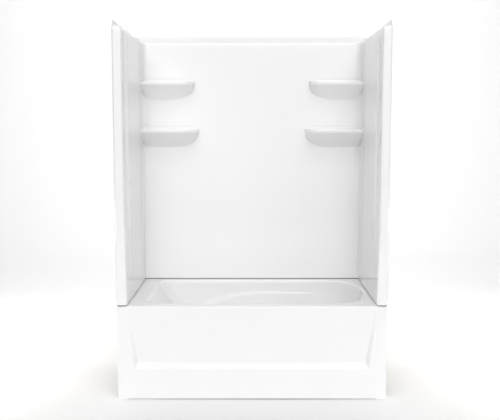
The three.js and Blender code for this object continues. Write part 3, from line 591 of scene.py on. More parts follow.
SIDE_COLUMNS, DRAIN_SIDE_COLUMNS = 30, 40
CORNER_STEPS, BACK_CORNER_STEPS = 12, 4
BAND_STEPS, MIDDLE_COLUMNS, BACK_COLUMNS = 9, 21, 45
TUB_BACK, BACK_CORNER = 0.812, 0.008
RETURN_END, RETURN_STEPS, RETURN_LAST = 0.060, 8, 0.97
FOOT_X, FOOT_LIFT, FOOT_STEP = 0.7005, 0.006, 0.001
BAND_WIDTH, BAND_LEAST, BAND_RISE, BAND_MARGIN = 0.021, 0.002, 0.30, 0.006


def side_places(count, corner_y):
    """Places along a side from the back corner's curve to the front corner, with one where the apron's
    return ends."""
    behind = steps(TUB_BACK - BACK_CORNER, RETURN_END, count - RETURN_STEPS - 1)
    ahead = steps(RETURN_END, corner_y, RETURN_STEPS)[1:-1]
    return behind + ahead + [lerp(RETURN_END, corner_y, RETURN_LAST)]


def outer_ring(z, follow=0.0, roll=0.0, flat=0.0):
    """One ring round the tub's outside, in the same order as the basin's plan. follow lifts the row along the
    recess's ledge, roll sets the front back where it turns over into the deck, and flat draws the whole ring
    in on the deck."""
    sizes = tub_sizes()
    half = sizes.half_width - side_roll(z) - flat
    front, back, r = roll + flat, TUB_BACK - flat, BACK_CORNER
    run, depth = sizes.corner_run, sizes.corner_depth
    lift = z + follow * sizes.recess_end_depth

    def side(count):
        """The left side, from the back corner to the apron's flat front."""
        line = arc(-half + r, back - r, r, r, QUARTER, 2 * QUARTER, BACK_CORNER_STEPS)[:-1]
        line += [(-half, min(y, back - r)) for y in side_places(count - BACK_CORNER_STEPS, front + depth)]
        line += arc(-half + run, front + depth, run, depth, 2 * QUARTER, 3 * QUARTER, CORNER_STEPS)
        return [(x, y, lift) for x, y in line]

    edge_z = min(lift, sizes.recess_top)
    band = max(BAND_WIDTH * share_of((sizes.recess_top - edge_z) / BAND_RISE), BAND_LEAST)
    near = [recess_edge(edge_z) + BAND_MARGIN - (band + 2 * BAND_MARGIN) * s for s in steps(0, 1, BAND_STEPS)]
    near = [FOOT_X + FOOT_STEP, FOOT_X - FOOT_STEP] + near
    middle = steps(-near[-1], near[-1], MIDDLE_COLUMNS + 1)[1:-1]
    ring = side(SIDE_COLUMNS)
    for x in [-x for x in near] + middle + near[::-1]:
        here = z + follow * recess_depth(min(abs(x), RECESS_FOOT_HALF))
        ring.append((x, front + (apron_y(x, here) if roll == 0 and flat == 0 else 0), here))
    ring += [(-x, y, lift) for x, y, lift in reversed(side(DRAIN_SIDE_COLUMNS))]
    return ring + [(x, back, lift) for x in steps(half - r, -half + r, BACK_COLUMNS + 1)[1:-1]]


DECK_FLAT, EDGE_STEPS = 0.003, 10
OPEN_TOP = 0.507
EDGE_ROWS = (0.512, OPEN_TOP, 0.504)
RECESS_START, LEDGE_START = 0.498, 0.010
RECESS_ROWS = (0.15, 0.3, 0.45, 0.6, 0.75, 0.88, 0.96)
LEDGE_ROWS = (0.007, 0.0045, 0.002, 0, -0.002, -0.0045, -0.007)
FOOT_ROWS = (0.16, 0.12, 0.08, 0.04, 0.012)


def outer_rows():
    """Rows of the tub's outside, from the deck's flat out over its edge and down to the floor."""
    sizes = tub_sizes()
    deck, roll, foot = sizes.deck_height, sizes.deck_roll, sizes.recess_foot
    rows = [outer_ring(deck, roll=roll, flat=DECK_FLAT)]
    for turn in steps(QUARTER, 0, EDGE_STEPS):
        rows.append(outer_ring(deck - roll + roll * math.sin(turn), roll=roll * (1 - math.cos(turn))))
    rows += [outer_ring(z) for z in EDGE_ROWS + (RECESS_START,)]
    rows += [outer_ring(lerp(RECESS_START, foot + LEDGE_START, s), follow=s) for s in RECESS_ROWS]
    rows += [outer_ring(foot + d, follow=1) for d in LEDGE_ROWS]
    rows.append(outer_ring(foot, follow=0.5))
    rows += [outer_ring(foot + d) for d in LEDGE_ROWS]
    rows += [outer_ring(z) for z in FOOT_ROWS]
    last = outer_ring(0.0)
    return rows + [[(x, y, FOOT_LIFT if abs(x) < FOOT_X and y < RETURN_END else 0.0) for x, y, _ in last]]


BASIN_HALF, BASIN_END = 0.745, 0.80
UPRIGHT, RETURN_MARGIN = 0.9, 0.0005


def tub():
    """The tub's moulding as a sheet: basin, rim, deck and apron. Its sides and back end at OPEN_TOP, so it is
    open below that, behind the apron's returns."""
    rows = [[at(*p) for p in row] for row in basin_rows() + outer_rows()][::-1]
    piece = sheet("tub_moulding", [row + row[:1] for row in rows], closed=True)
    bpy.ops.object.mode_set(mode="EDIT")
    bpy.ops.mesh.select_all(action="DESELECT")
    bpy.ops.object.mode_set(mode="OBJECT")
    for face in piece.data.polygons:
        x, y, z = face.center - Vector(at(0, 0, 0))
        basin = abs(x) < BASIN_HALF and y < BASIN_END
        behind = y > RETURN_END + RETURN_MARGIN and not basin
        face.select = z < OPEN_TOP and behind and abs(face.normal.z) < UPRIGHT
    bpy.ops.object.mode_set(mode="EDIT")
    bpy.ops.mesh.delete(type="FACE")
    bpy.ops.object.mode_set(mode="OBJECT")
    return piece


UPSTAND_X, UPSTAND_Y, UPSTAND_LOW, UPSTAND_TOP = 0.7135, 0.8025, 0.535, 0.568
UPSTAND_SKIN = 0.006
UPSTAND_OUTER, UPSTAND_INNER = (0.006, 7), (0.002, 5)


def upstand():
    """The low lip that stands on the deck behind the walls and keeps water in: a U with rounded corners."""
    outline = []
    for x, y, (cut, count) in (
        (UPSTAND_X, UPSTAND_Y, UPSTAND_OUTER),
        (-UPSTAND_X + UPSTAND_SKIN, UPSTAND_Y - UPSTAND_SKIN, UPSTAND_INNER),
    ):
        corners = [(-x, RETURN_END), (-x, y), (x, y), (x, RETURN_END)]
        outline += rounded(corners, [cut] * 2, [count] * 2)
    return coated(plate("upstand", outline, UPSTAND_LOW, UPSTAND_TOP))


OVERFLOW_REACH, OVERFLOW_SIDES = 0.024, 64
OVERFLOW_FLARE = [(0.0035, 0), (0.002, 0.0003), (0.0009, 0.0010), (0.0002, 0.0022), (-0.004, 0.014)]


def overflow_cut():
    """What is cut out of the drain end for the overflow: a round bar, flared where it meets the sloping wall.
    The flare is given as places behind the wall's face and how much wider the bar is there."""
    slope = WALL_RUN / (WALL_TOP - BASIN_FLOOR)
    wall = RIM_RIGHT - slope * (WALL_TOP - OVERFLOW_Z)
    rings = []
    for behind, wider in [(OVERFLOW_REACH, 0)] + OVERFLOW_FLARE:
        r = tub_sizes().overflow_radius + wider
        ring = arc(0, 0, r, r, 0, 4 * QUARTER, OVERFLOW_SIDES)[:-1]
        rings.append([at(wall + behind + slope * up, DRAIN_Y + over, OVERFLOW_Z + up) for over, up in ring])
    return coated(body_of_rings("overflow_cut", rings))


class UNIT_OT_tub(bpy.types.Operator):
    """Builds the tub moulding"""

    bl_idname = "unit.tub"
    bl_label = "Tub"

    def execute(self, context):
        piece = thicken(coated(tub()), context.scene.tub_sizes.skin)
        combine(piece, upstand(), "UNION")
        combine(piece, overflow_cut(), "DIFFERENCE")
        smooth(piece, TUB_ANGLE)
        finish_piece(piece, "gelcoat", "tub_shell")
        return {"FINISHED"}


# ---- the walls ----


STUD, UNIT_TOP = cad_high.x, cad_high.z
UNIT_BACK = wall_high.y - cad_low.y
FLANGE_SKIN = 0.006
FLANGE_IN = STUD - FLANGE_SKIN
FLANGE_FRONT, FLANGE_REAR, FLANGE_FOOT = 0.012, 0.057, 0.559
COLUMN_OUTER_RADIUS = 0.008
CONTOUR_RAMP = 0.007
CONTOUR_TOP, CONTOUR_LOW = 1.850, 0.800
CONTOUR_TOP_Y, CONTOUR_LOW_Y = 0.1105, 0.1495
CONTOUR_END, CONTOUR_FADE = 0.640, 0.480
END_BACK = 0.639
WRAP_X, WRAP_FRONT = 0.701, 0.642
CORNER_LOW, CORNER_HIGH = 1.427, 1.501
TIGHT_CORNER, WIDE_CORNER = 0.014, 0.040
TURN = 0.0015
LAP = 0.001
NUDGE = 0.0002
SEAM_OUT, SEAM_FOOT, SEAM_TOP, SEAM_THICKNESS = 0.738, 0.573, 2.0765, 0.006
BOLT_X, BOLT_HOLE, BOLT_MARGIN = 0.7195, 0.0036, 0.090
HOLE_REACH, HOLE_SIDES = (-0.01, 0.02), 32
BOLT_HEIGHTS = steps(SEAM_FOOT + BOLT_MARGIN, SEAM_TOP - BOLT_MARGIN, 4)
ROLL_STEPS, TURN_STEPS, TURN_POINTS = 12, 4, 5
FLAT_STEPS, COLUMN_STEPS, COLUMN_TURN_STEPS, CONTOUR_STEPS, END_STEPS = 5, 10, 12, 10, 16
WRAP_STEPS, CORNER_CURVE_STEPS, HALF_BACK_STEPS = 6, 16, 12
LEDGE_EDGE, FLANGE_EDGE = 0.003, 0.0006
SEAM_ROLL_STEPS = 6
HIDDEN_SIDE = 0.6


def contour_y(z):
    """How far the contour's line stands behind the column's face."""
    share = share_of((CONTOUR_TOP - z) / (CONTOUR_TOP - CONTOUR_LOW))
    return lerp(CONTOUR_TOP_Y, CONTOUR_LOW_Y, share)


def contour_depth(z):
    """Depth of the strip between the column and the contour: it fades out towards the deck."""
    return wall_sizes().contour_depth * share_of((z - CONTOUR_END) / CONTOUR_FADE)


def end_path(z, roll):
    """Plan of the left end wall's face at a height, from the column's outer side to the seam."""
    sizes = wall_sizes()
    main = -sizes.face_x - roll
    strip = main - contour_depth(z)
    line = contour_y(z)
    r, inner = COLUMN_OUTER_RADIUS, sizes.column_radius
    outer = -FLANGE_IN + max(0.0, roll - sizes.ledge_roll)
    path = [(outer, y) for y in steps(FLANGE_REAR, roll + r, FLAT_STEPS)[:-1]]
    path += arc(outer + r, roll + r, r, r, math.pi, 3 * QUARTER, COLUMN_STEPS)
    path += [(x, roll) for x in steps(outer + r, strip - inner, FLAT_STEPS)[1:-1]]
    path += arc(strip - inner, roll + inner, inner, inner, -QUARTER, 0, COLUMN_TURN_STEPS)
    path += [(strip, y) for y in steps(roll + inner, line, FLAT_STEPS)[1:-1]]
    path += [(lerp(strip, main, eased(s)), line + CONTOUR_RAMP * s) for s in steps(0, 1, CONTOUR_STEPS)]
    path += [(main, y) for y in steps(line + CONTOUR_RAMP, END_BACK - TURN, END_STEPS)[1:-1]]
    return path + arc(main - TURN, END_BACK - TURN, TURN, TURN, 0, QUARTER, TURN_STEPS)


def back_path(z, roll):
    """Plan of the back wall's face: a U that wraps forward to the seams, with its corners tight below the
    lower shelves and wide above them."""
    sizes = wall_sizes()
    x, y = WRAP_X + roll, sizes.face_y + roll
    wide = eased(share_of((z - CORNER_LOW) / (CORNER_HIGH - CORNER_LOW)))
    radius = lerp(TIGHT_CORNER, WIDE_CORNER, wide) + roll
    left = arc(-x - TURN, WRAP_FRONT + TURN, TURN, TURN, -QUARTER, 0, TURN_STEPS)
    left += [(-x, p) for p in steps(WRAP_FRONT + TURN, y - radius, WRAP_STEPS)[1:-1]]
    left += arc(-x + radius, y - radius, radius, radius, math.pi, QUARTER, CORNER_CURVE_STEPS)
    left += [(p, y) for p in steps(-x + radius, 0, HALF_BACK_STEPS)[1:-1]]
    return left + [(0, y)] + [(-p, q) for p, q in reversed(left)]


def coated(piece, hidden=None):
    """Gives a piece both faces of the moulding: gelcoat, and laminate on the side that is hidden. hidden is
    None, all or a direction."""
    for name in (GELCOAT, LAMINATE):
        piece.data.materials.append(bpy.data.materials[name])
    for face in piece.data.polygons:
        turned = hidden == "all" or (hidden is not None and face.normal.dot(Vector(hidden)) > HIDDEN_SIDE)
        face.material_index = int(turned)
    return piece


def thicken(piece, skin):
    """Gives a coated sheet the moulding's thickness, with laminate on its back."""
    return apply(piece, "SOLIDIFY", thickness=skin, offset=-1, use_even_offset=True, material_offset=1)


def wall_skin(name, path, levels):
    """A wall's skin: its plan at these levels, rolled over at the top into the start of the ledge."""
    sizes = wall_sizes()
    r = sizes.ledge_roll
    levels = [(z, 0.0) for z in levels]
    for turn in steps(0, QUARTER, ROLL_STEPS)[1:]:
        levels.append((sizes.top - r + r * math.sin(turn), r * (1 - math.cos(turn))))
    levels.append((sizes.top, r + LEDGE_EDGE))
    rows = [[at(x, y, z) for x, y in path(z, roll)] for z, roll in levels]
    return thicken(coated(sheet(name, rows)), sizes.skin)


def slab(low, high, hidden):
    """A flat flange with softened edges."""
    piece = block("slab", at(*low), at(*high))
    apply(piece, "BEVEL", width=FLANGE_EDGE, segments=2, limit_method="NONE")
    return coated(piece, hidden)


def seam_flange(face_x, y, hidden):
    """The turned-out flange on one side of the left seam, with its bolt holes."""
    sizes = wall_sizes()
    r, inner = sizes.ledge_roll, -face_x - TURN + 2 * NUDGE
    start = sizes.top - r
    outline = [(-SEAM_OUT, SEAM_FOOT), (inner, SEAM_FOOT)]
    outline += arc(inner - r, start, r, r, 0, math.asin((SEAM_TOP - start) / r), SEAM_ROLL_STEPS)
    outline.append((-SEAM_OUT, SEAM_TOP))
    rings = [[at(x, p, z) for x, z in outline] for p in (y + NUDGE, y + SEAM_THICKNESS - NUDGE)]
    piece = coated(body_of_rings("seam_flange", rings), hidden)
    for z in BOLT_HEIGHTS:
        ends = [at(-BOLT_X, y + reach, z) for reach in HOLE_REACH]
        hole = round_bar("hole", BOLT_HOLE, *ends, HOLE_SIDES)
        combine(piece, coated(hole, "all"), "DIFFERENCE")
    return piece


def mirror_copy(piece, name):
    """A copy on the right of the unit, with its own mesh."""
    hold(piece)
    bpy.ops.object.duplicate()
    bpy.ops.transform.mirror(constraint_axis=(True, False, False), center_override=(0, 0, 0))
    return face_out(settle(name))


LEDGE_INSET, FLANGE_LAP = 0.0145, 0.01
END_LEVELS = 44


def end_wall():
    """The left end wall: column, contour, main face, ledge and flanges."""
    sizes = wall_sizes()
    levels = steps(sizes.foot, sizes.top - sizes.ledge_roll, END_LEVELS)
    piece = wall_skin("end_wall_moulding_left", end_path, levels)
    ledge_low = sizes.top - sizes.skin + NUDGE
    inner, rear = -FLANGE_IN + LAP, END_BACK - 3 * NUDGE
    face = end_path(sizes.top, sizes.ledge_roll + LAP)[:-TURN_POINTS]
    face = [(x, y) for x, y in face if x > -STUD + LEDGE_INSET]
    outline = [(inner, rear), (inner, face[0][1])] + face + [(face[-1][0], rear)]
    top_low = (-STUD + NUDGE, FLANGE_REAR - FLANGE_LAP, ledge_low + NUDGE)
    top_high = (inner + NUDGE, END_BACK, UNIT_TOP - NUDGE)
    for tool in (
        coated(plate("ledge", outline, ledge_low, sizes.top - NUDGE), (0, 0, -1)),
        slab((-STUD, FLANGE_FRONT, FLANGE_FOOT), (inner, FLANGE_REAR - NUDGE, UNIT_TOP), (-1, 0, 0)),
        slab(top_low, top_high, (-1, 0, 0)),
        seam_flange(sizes.face_x, END_BACK - SEAM_THICKNESS, (0, -1, 0)),
    ):
        combine(piece, tool, "UNION")
    return piece


UPPER_SHELF = dict(top=1.822, depth=0.113, length=0.335, height=0.110, inner_run=0.045, inner_rise=0.028)
LOWER_SHELF = dict(top=1.521, depth=0.136, length=0.358, height=0.114, inner_run=0.028, inner_rise=0.016)
SHELVES = (UPPER_SHELF, LOWER_SHELF)
SHELF_FALL = 0.03
SHELF_END_RUN, SHELF_FREE_RUN = 0.064, 0.145
SHELF_STATIONS = 56
SHELF_LEAST_RUN, SHELF_REAR_STEPS = 0.002, 8
SHELF_COVE, SHELF_COVE_SHARE, SHELF_TOP_COVE = 0.006, 0.4, 0.010
BEND_OUT, BEND_SUNK, BEND_PAST, BEND_STEPS = 0.0004, 0.0010, 0.0003, 5
CORNER_CHANGE = 1.46
BEHIND_FACE, SUNK = 0.0016, 0.0012
TOUCH, NEARLY_NONE = 0.0005, 1e-5
SHELF_TAIL, SHELF_TOE, SHELF_TOP_RUN, SHELF_LIP_TURN = 0.011, 0.0006, 0.04, 0.005
SHELF_CUTS, SHELF_COUNTS, SHELF_SLOPE_STEPS = (0.010, 0.006, 0.005), (9, 8, 9), 12
COVE_FREE_END, COVE_FRONT_END = 0.004, 0.006
COVE_BACK_STEPS, COVE_TURN_STEPS, COVE_SIDE_STEPS, COVE_SECTION_STEPS = 26, 12, 10, 7
COVE_TAPER, COVE_LEAST = 4, 0.12
HOLLOW_BACK, HOLLOW_FLOOR, HOLLOW_HEADROOM = 0.025, 1.28, 2.3
HOLLOW_LOW, HOLLOW_HIGH = (0.3, 0.7), (0.25, 0.5, 0.8)


def sweep(share):
    """A quarter circle's fall from 1 to 0."""
    return 1 - math.sqrt(max(0.0, 1 - (1 - share) ** 2))


def wall_line(x, turn):
    """Just behind the back wall's face there, round its concave corner."""
    beyond = min(0.0, x + WRAP_X - turn)
    reach = (turn + BEHIND_FACE) ** 2 - beyond * beyond
    return wall_sizes().face_y - turn + math.sqrt(max(reach, 0.0))


def shelf_ring(shelf, depth, z, inset=0.0, back=None, skin=0.0):
    """Plan of a left-hand shelf at one height. Its underside runs straight from the curve where it meets the
    wall to the lip, so lower down it is shorter and shallower. back opens it behind the wall."""
    sizes = wall_sizes()
    face, full = sizes.face_y, shelf["depth"]
    rise = shelf["height"] - sizes.shelf_lip
    side, tip = -WRAP_X + skin, -WRAP_X + shelf["length"] - skin
    height = z - (shelf["top"] - shelf["height"] + HOLLOW_FLOOR * skin)
    touches = height >= shelf["inner_rise"]
    start = side + shelf["inner_run"] * sweep(share_of(height / shelf["inner_rise"]))
    if touches:
        start = -WRAP_X - (back or LAP)
    end = tip - SHELF_FREE_RUN * sweep(share_of(height / rise)) - inset
    last = tip - inset
    reach = max(SHELF_END_RUN * (depth if height > rise else full) / full, SHELF_LEAST_RUN)
    cove = 0.0 if back else min(SHELF_COVE, SHELF_COVE_SHARE * max(depth, 0.0))
    turn = TIGHT_CORNER if z < CORNER_CHANGE else WIDE_CORNER

    def depth_at(x):
        """How far the ring stands out from the wall's face."""
        outline = max(
            shelf["inner_rise"] * sweep(share_of((x - side) / shelf["inner_run"])),
            rise * sweep(share_of((tip - x) / SHELF_FREE_RUN)),
        )
        plan = math.sqrt(max(0.0, 1 - share_of((x - last + reach) / reach) ** 2))
        if height >= rise:
            part = 1.0
        elif height <= TOUCH:
            part = 1.0 if start < x < end else 0.0
        else:
            part = share_of((height - outline) / max(rise - outline, NEARLY_NONE)) * rise / height
        flare = 0.0
        if touches and not back:
            flare = cove * sweep(share_of((x - side) / max(cove, NEARLY_NONE)))
        return depth * plan * part + flare

    def rear(x):
        return face + back if back else wall_line(x, turn)

    places = [lerp(start, end, (1 - math.cos(t)) / 2) for t in steps(0, 2 * QUARTER, SHELF_STATIONS)]
    corner_x = max(start, -WRAP_X + turn) + TOUCH
    outline = [(x, rear(x)) for x in steps(corner_x, start, SHELF_REAR_STEPS)]
    outline += [(x, min(face - depth_at(x), rear(x) - NUDGE)) for x in places]
    tail = outline[-1]
    bend = (end, face + (BEND_OUT if depth > 0 else BEND_SUNK))
    far = (end + cove + BEND_PAST, bend[1] + NUDGE)
    for share in steps(0, 1, BEND_STEPS)[1:]:
        outline.append(tuple(mix(mix(tail, bend, share), mix(bend, far, share), share)))
    outline.append((far[0], face + (back or BEHIND_FACE) + NUDGE))
    slope = SHELF_FALL * share_of((height - rise) / sizes.shelf_lip)
    return [at(x, y, z + slope * (y - face + full)) for x, y in outline]


def shelf_body(shelf):
    """A moulded corner shelf: underside that sweeps up to a rounded lip, and a top that sheds water."""
    top, depth = shelf["top"], shelf["depth"]
    low, lip = top - shelf["height"], top - wall_sizes().shelf_lip
    corners = [(-SUNK, low - SHELF_TAIL), (SHELF_TOE, low), (depth, lip), (depth, top)]
    corners.append((depth - SHELF_TOP_RUN, top))
    profile = rounded(corners, SHELF_CUTS, SHELF_COUNTS)
    last = SHELF_COUNTS[0]
    slope = [mix(profile[last], profile[last + 1], s) for s in steps(0, 1, SHELF_SLOPE_STEPS)[1:-1]]
    profile[last + 1 : last + 1] = slope
    insets = [max(0.0, depth - d) if z > lip + SHELF_LIP_TURN else 0.0 for d, z in profile]
    rings = [shelf_ring(shelf, d, z, inset) for (d, z), inset in zip(profile, insets)]
    return coated(body_of_rings("shelf", rings))


def top_cove(shelf):
    """The concave turn where a shelf's top meets the walls behind it and beside it."""
    face, turn = wall_sizes().face_y, WIDE_CORNER
    front = face - shelf["depth"]
    end = -WRAP_X + shelf["length"]
    line = [(x, face, 0, -1) for x in steps(end - COVE_FREE_END, -WRAP_X + turn, COVE_BACK_STEPS)[:-1]]
    for across, along in arc(0, 0, 1, 1, QUARTER, 2 * QUARTER, COVE_TURN_STEPS):
        line.append((-WRAP_X + turn + turn * across, face - turn + turn * along, -across, -along))
    side = steps(face - turn, front + COVE_FRONT_END, COVE_SIDE_STEPS)[1:]
    line += [(-WRAP_X, y, 1, 0) for y in side]
    rings = []
    for i, (x, y, nx, ny) in enumerate(line):
        grow = share_of(min(i, len(line) - 1 - i) / COVE_TAPER)
        r = SHELF_TOP_COVE * max(COVE_LEAST, grow * (2 - grow))
        level = shelf["top"] + SHELF_FALL * (y - front)
        section = [(-SUNK, -SUNK), (-SUNK, r), (NUDGE, r)]
        turned = arc(r + NUDGE, r + NUDGE, r, r, 2 * QUARTER, 3 * QUARTER, COVE_SECTION_STEPS)
        section += turned[1:]
        section.append((r + NUDGE, -SUNK))
        rings.append([at(x + nx * d, y + ny * d, level + h) for d, h in section])
    return coated(body_of_rings("cove", rings))


def shelf_hollow(shelf):
    """The hollow behind a shelf, open through the back wall and its wrap-round edge."""
    sizes = wall_sizes()
    skin, step = sizes.skin, shelf["inner_rise"]
    rise = shelf["height"] - sizes.shelf_lip
    low = shelf["top"] - shelf["height"] + HOLLOW_FLOOR * skin
    heights = [share * step for share in HOLLOW_LOW] + [step - TOUCH, step + TOUCH]
    heights += [lerp(step, rise, share) for share in HOLLOW_HIGH] + [rise]
    heights.append(shelf["height"] - HOLLOW_HEADROOM * skin)
    rings = []
    for height in heights:
        depth = (shelf["depth"] - skin) * share_of(height / rise)
        rings.append(shelf_ring(shelf, depth, low + height, back=HOLLOW_BACK, skin=skin))
    return coated(body_of_rings("hollow", rings), "all")


BELOW_LEVELS, CORNER_LEVELS, ABOVE_LEVELS = 14, 10, 12


def back_wall():
    """The back wall: wrap-round face, ledge, flanges and its four shelves."""
    sizes = wall_sizes()
    levels = steps(sizes.foot, CORNER_LOW, BELOW_LEVELS)
    levels += steps(CORNER_LOW, CORNER_HIGH, CORNER_LEVELS)[1:]
    levels += steps(CORNER_HIGH, sizes.top - sizes.ledge_roll, ABOVE_LEVELS)[1:]
    piece = wall_skin("back_wall_moulding", back_path, levels)
    ledge_low, rear = sizes.top - sizes.skin + NUDGE, UNIT_BACK - FLANGE_SKIN
    inner, front = -FLANGE_IN + LAP / 2, WRAP_FRONT + 3 * NUDGE
    path = back_path(sizes.top, sizes.ledge_roll + LAP)[TURN_POINTS:-TURN_POINTS]
    outline = [(path[0][0], front)] + path + [(-path[0][0], front), (-inner, front), (-inner, rear + LAP)]
    outline += [(inner, rear + LAP), (inner, front)]
    side_low = (-STUD, WRAP_FRONT, ledge_low + NUDGE)
    side_high = (-FLANGE_IN + LAP, UNIT_BACK - LAP, UNIT_TOP - NUDGE)
    tools = [slab(side_low, side_high, (-1, 0, 0)), seam_flange(WRAP_X, WRAP_FRONT, (0, 1, 0))]
    tools += [make(shelf) for make in (shelf_body, top_cove) for shelf in SHELVES]
    hollows = [shelf_hollow(shelf) for shelf in SHELVES]
    joined = [
        coated(plate("ledge", outline, ledge_low, sizes.top - NUDGE), (0, 0, -1)),
        slab((-STUD + NUDGE, rear, ledge_low - NUDGE), (STUD - NUDGE, UNIT_BACK, UNIT_TOP), (0, 1, 0)),
    ]
    for tool in tools:
        joined += [mirror_copy(tool, "mirrored"), tool]
    for tool in joined:
        combine(piece, tool, "UNION")
    for tool in hollows:
        combine(piece, mirror_copy(tool, "mirrored"), "DIFFERENCE")
        combine(piece, tool, "DIFFERENCE")
    return piece


class UNIT_OT_end_walls(bpy.types.Operator):
    """Builds the left end wall and its mirror image"""

    bl_idname = "unit.end_walls"
    bl_label = "End walls"

    def execute(self, context):
        left = end_wall()
        right = mirror_copy(left, "end_wall_moulding_right")
        for piece, solid in ((left, "end_wall_left"), (right, "end_wall_right")):
            smooth(piece, WALL_ANGLE)
            finish_piece(piece, "gelcoat", solid)
        return {"FINISHED"}


class UNIT_OT_back_wall(bpy.types.Operator):
    """Builds the back wall with its four corner shelves"""

    bl_idname = "unit.back_wall"
    bl_label = "Back wall"

    def execute(self, context):
        piece = back_wall()
        smooth(piece, WALL_ANGLE)
        finish_piece(piece, "gelcoat", "back_wall")
        return {"FINISHED"}


# ---- timber, boards, seals and bolts ----


AXES = {"x": 0, "y": 1, "z": 2}


def along(axis, longways, crossways):
    """Scales for a pattern that is drawn out along one axis."""
    scales = [crossways] * 3
    scales[AXES[axis]] = longways
    return scales


def softwood(axis):
    """Sawn spruce: year rings 4 mm apart, seen as long flames on the faces, with fine fibres along them."""
    material, tree, shader, place = finish("sawn spruce along " + axis)
    base = bpy.context.scene.unit_finishes.timber
    shift = (0.071, 0.043, 0.057)
    heart = node(tree, "ShaderNodeMapping", Vector=place, Location=shift, Scale=along(axis, 0.12, 1))
    settings = {"wave_type": "RINGS", "rings_direction": axis.upper()}
    looks = {"Scale": 78.0, "Distortion": 2.2, "Detail": 2.0}
    rings = node(tree, "ShaderNodeTexWave", settings, Vector=heart.outputs[0], **looks)
    stretch = node(tree, "ShaderNodeMapping", Vector=place, Scale=along(axis, 14, 900))
    fibres = node(tree, "ShaderNodeTexNoise", Vector=stretch.outputs[0], Scale=1.0, Detail=3.0)
    faint = {"i0": fibres.outputs["Fac"], "i1": 0.35, "i2": -0.17}
    both = node(tree, "ShaderNodeMath", {"operation": "MULTIPLY_ADD"}, **faint)
    grain = node(tree, "ShaderNodeMath", {"operation": "ADD"}, i0=rings.outputs["Fac"], i1=both.outputs[0])
    stripes = [(0.1, base), (0.6, darker(base, 0.86)), (0.95, darker(base, 0.62))]
    tint = shades(tree, grain.outputs[0], stripes)
    bump = node(tree, "ShaderNodeBump", Height=grain.outputs[0], Strength=0.35, Distance=0.0005)
    node(tree, shader, Base_Color=tint, Normal=bump.outputs[0], Roughness=0.72)
    return material


def plywood(axis):
    """Pine plywood, sanded: broad peeled figure on its faces and stripes 2.7 mm apart, its plies, on its
    edges. axis is the way through the board."""
    material, tree, shader, place = finish("pine plywood through " + axis)
    base = bpy.context.scene.unit_finishes.plywood
    long = {"x": "y", "y": "x", "z": "x"}[axis]
    stretch = node(tree, "ShaderNodeMapping", Vector=place, Scale=along(long, 2.2, 30))
    looks = {"Scale": 1.0, "Detail": 4.0, "Distortion": 0.6}
    figure = node(tree, "ShaderNodeTexNoise", Vector=stretch.outputs[0], **looks)
    fine = node(tree, "ShaderNodeMapping", Vector=place, Scale=along(long, 16, 700))
    fibres = node(tree, "ShaderNodeTexNoise", Vector=fine.outputs[0], Scale=1.0, Detail=2.0)
    faint = {"i0": fibres.outputs["Fac"], "i1": 0.3, "i2": figure.outputs["Fac"]}
    both = node(tree, "ShaderNodeMath", {"operation": "MULTIPLY_ADD"}, **faint)
    flames = [(0.45, darker(base, 0.78)), (0.62, base), (0.85, darker(base, 0.88))]
    face = shades(tree, both.outputs[0], flames)
    settings = {"wave_type": "BANDS", "bands_direction": axis.upper(), "wave_profile": "SAW"}
    plies = node(tree, "ShaderNodeTexWave", settings, Vector=place, Scale=58.0)
    stripes = [(0.0, base), (0.5, darker(base, 0.9)), (0.55, darker(base, 0.5))]
    edge = shades(tree, plies.outputs["Fac"], stripes)
    normal = node(tree, "ShaderNodeNewGeometry").outputs["Normal"]
    parts = node(tree, "ShaderNodeSeparateXYZ", Vector=normal)
    facing = node(tree, "ShaderNodeMath", {"operation": "ABSOLUTE"}, i0=parts.outputs[AXES[axis]])
    is_face = node(tree, "ShaderNodeMath", {"operation": "GREATER_THAN"}, i0=facing.outputs[0], i1=0.7)
    tint = node(tree, "ShaderNodeMix", {"data_type": "RGBA"}, i0=is_face.outputs[0], i6=edge, i7=face)
    node(tree, shader, Base_Color=tint.outputs[2], Roughness=0.68)
    return material


def foam():
    """Closed-cell polyethylene foam strip: dull charcoal with cells about 1 mm wide."""
    material, tree, shader, place = finish("closed-cell foam strip")
    base = bpy.context.scene.unit_finishes.foam
    cells = node(tree, "ShaderNodeTexVoronoi", Vector=place, Scale=900.0)
    tint = shades(tree, cells.outputs["Distance"], [(0.1, darker(base, 0.7)), (0.6, base)])
    bump = node(tree, "ShaderNodeBump", Height=cells.outputs["Distance"], Strength=0.5, Distance=0.0004)
    node(tree, shader, Base_Color=tint, Normal=bump.outputs[0], Roughness=0.88)
    return material


def zinc():
    """Zinc-plated steel, barrel plated: a cool, slightly cloudy sheen."""
    material, tree, shader, place = finish("zinc-plated steel")
    base = bpy.context.scene.unit_finishes.zinc
    cloud = node(tree, "ShaderNodeTexNoise", Vector=place, Scale=260.0, Detail=3.0)
    tint = shades(tree, cloud.outputs["Fac"], [(0.35, darker(base, 0.82)), (0.65, base)])
    rough = node(tree, "ShaderNodeMapRange", i0=cloud.outputs["Fac"], i3=0.24, i4=0.42)
    node(tree, shader, Base_Color=tint, Roughness=rough.outputs[0], Metallic=1.0)
    return material


SAWN_EDGE, BOARD_EDGE = 0.0025, 0.0008


def dressed(solid, name, edge, slot, stuff):
    """A sawn length or board in the place of its solid, with its edges eased."""
    piece = block(name, *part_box(solid))
    apply(piece, "BEVEL", width=edge, segments=3, limit_method="NONE")
    piece.data.materials.append(stuff)
    smooth(piece, EDGE_ANGLE)
    finish_piece(piece, slot, solid)


def refinish(solid, stuff):
    """Gives a solid that stays as it is a material."""
    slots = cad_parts[solid].data.materials
    slots.clear()
    slots.append(stuff)


def way(solid, most):
    """The axis along which a solid is longest or thinnest: most is max or min."""
    low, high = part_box(solid)
    return most(AXES, key=lambda axis: (high - low)[AXES[axis]])


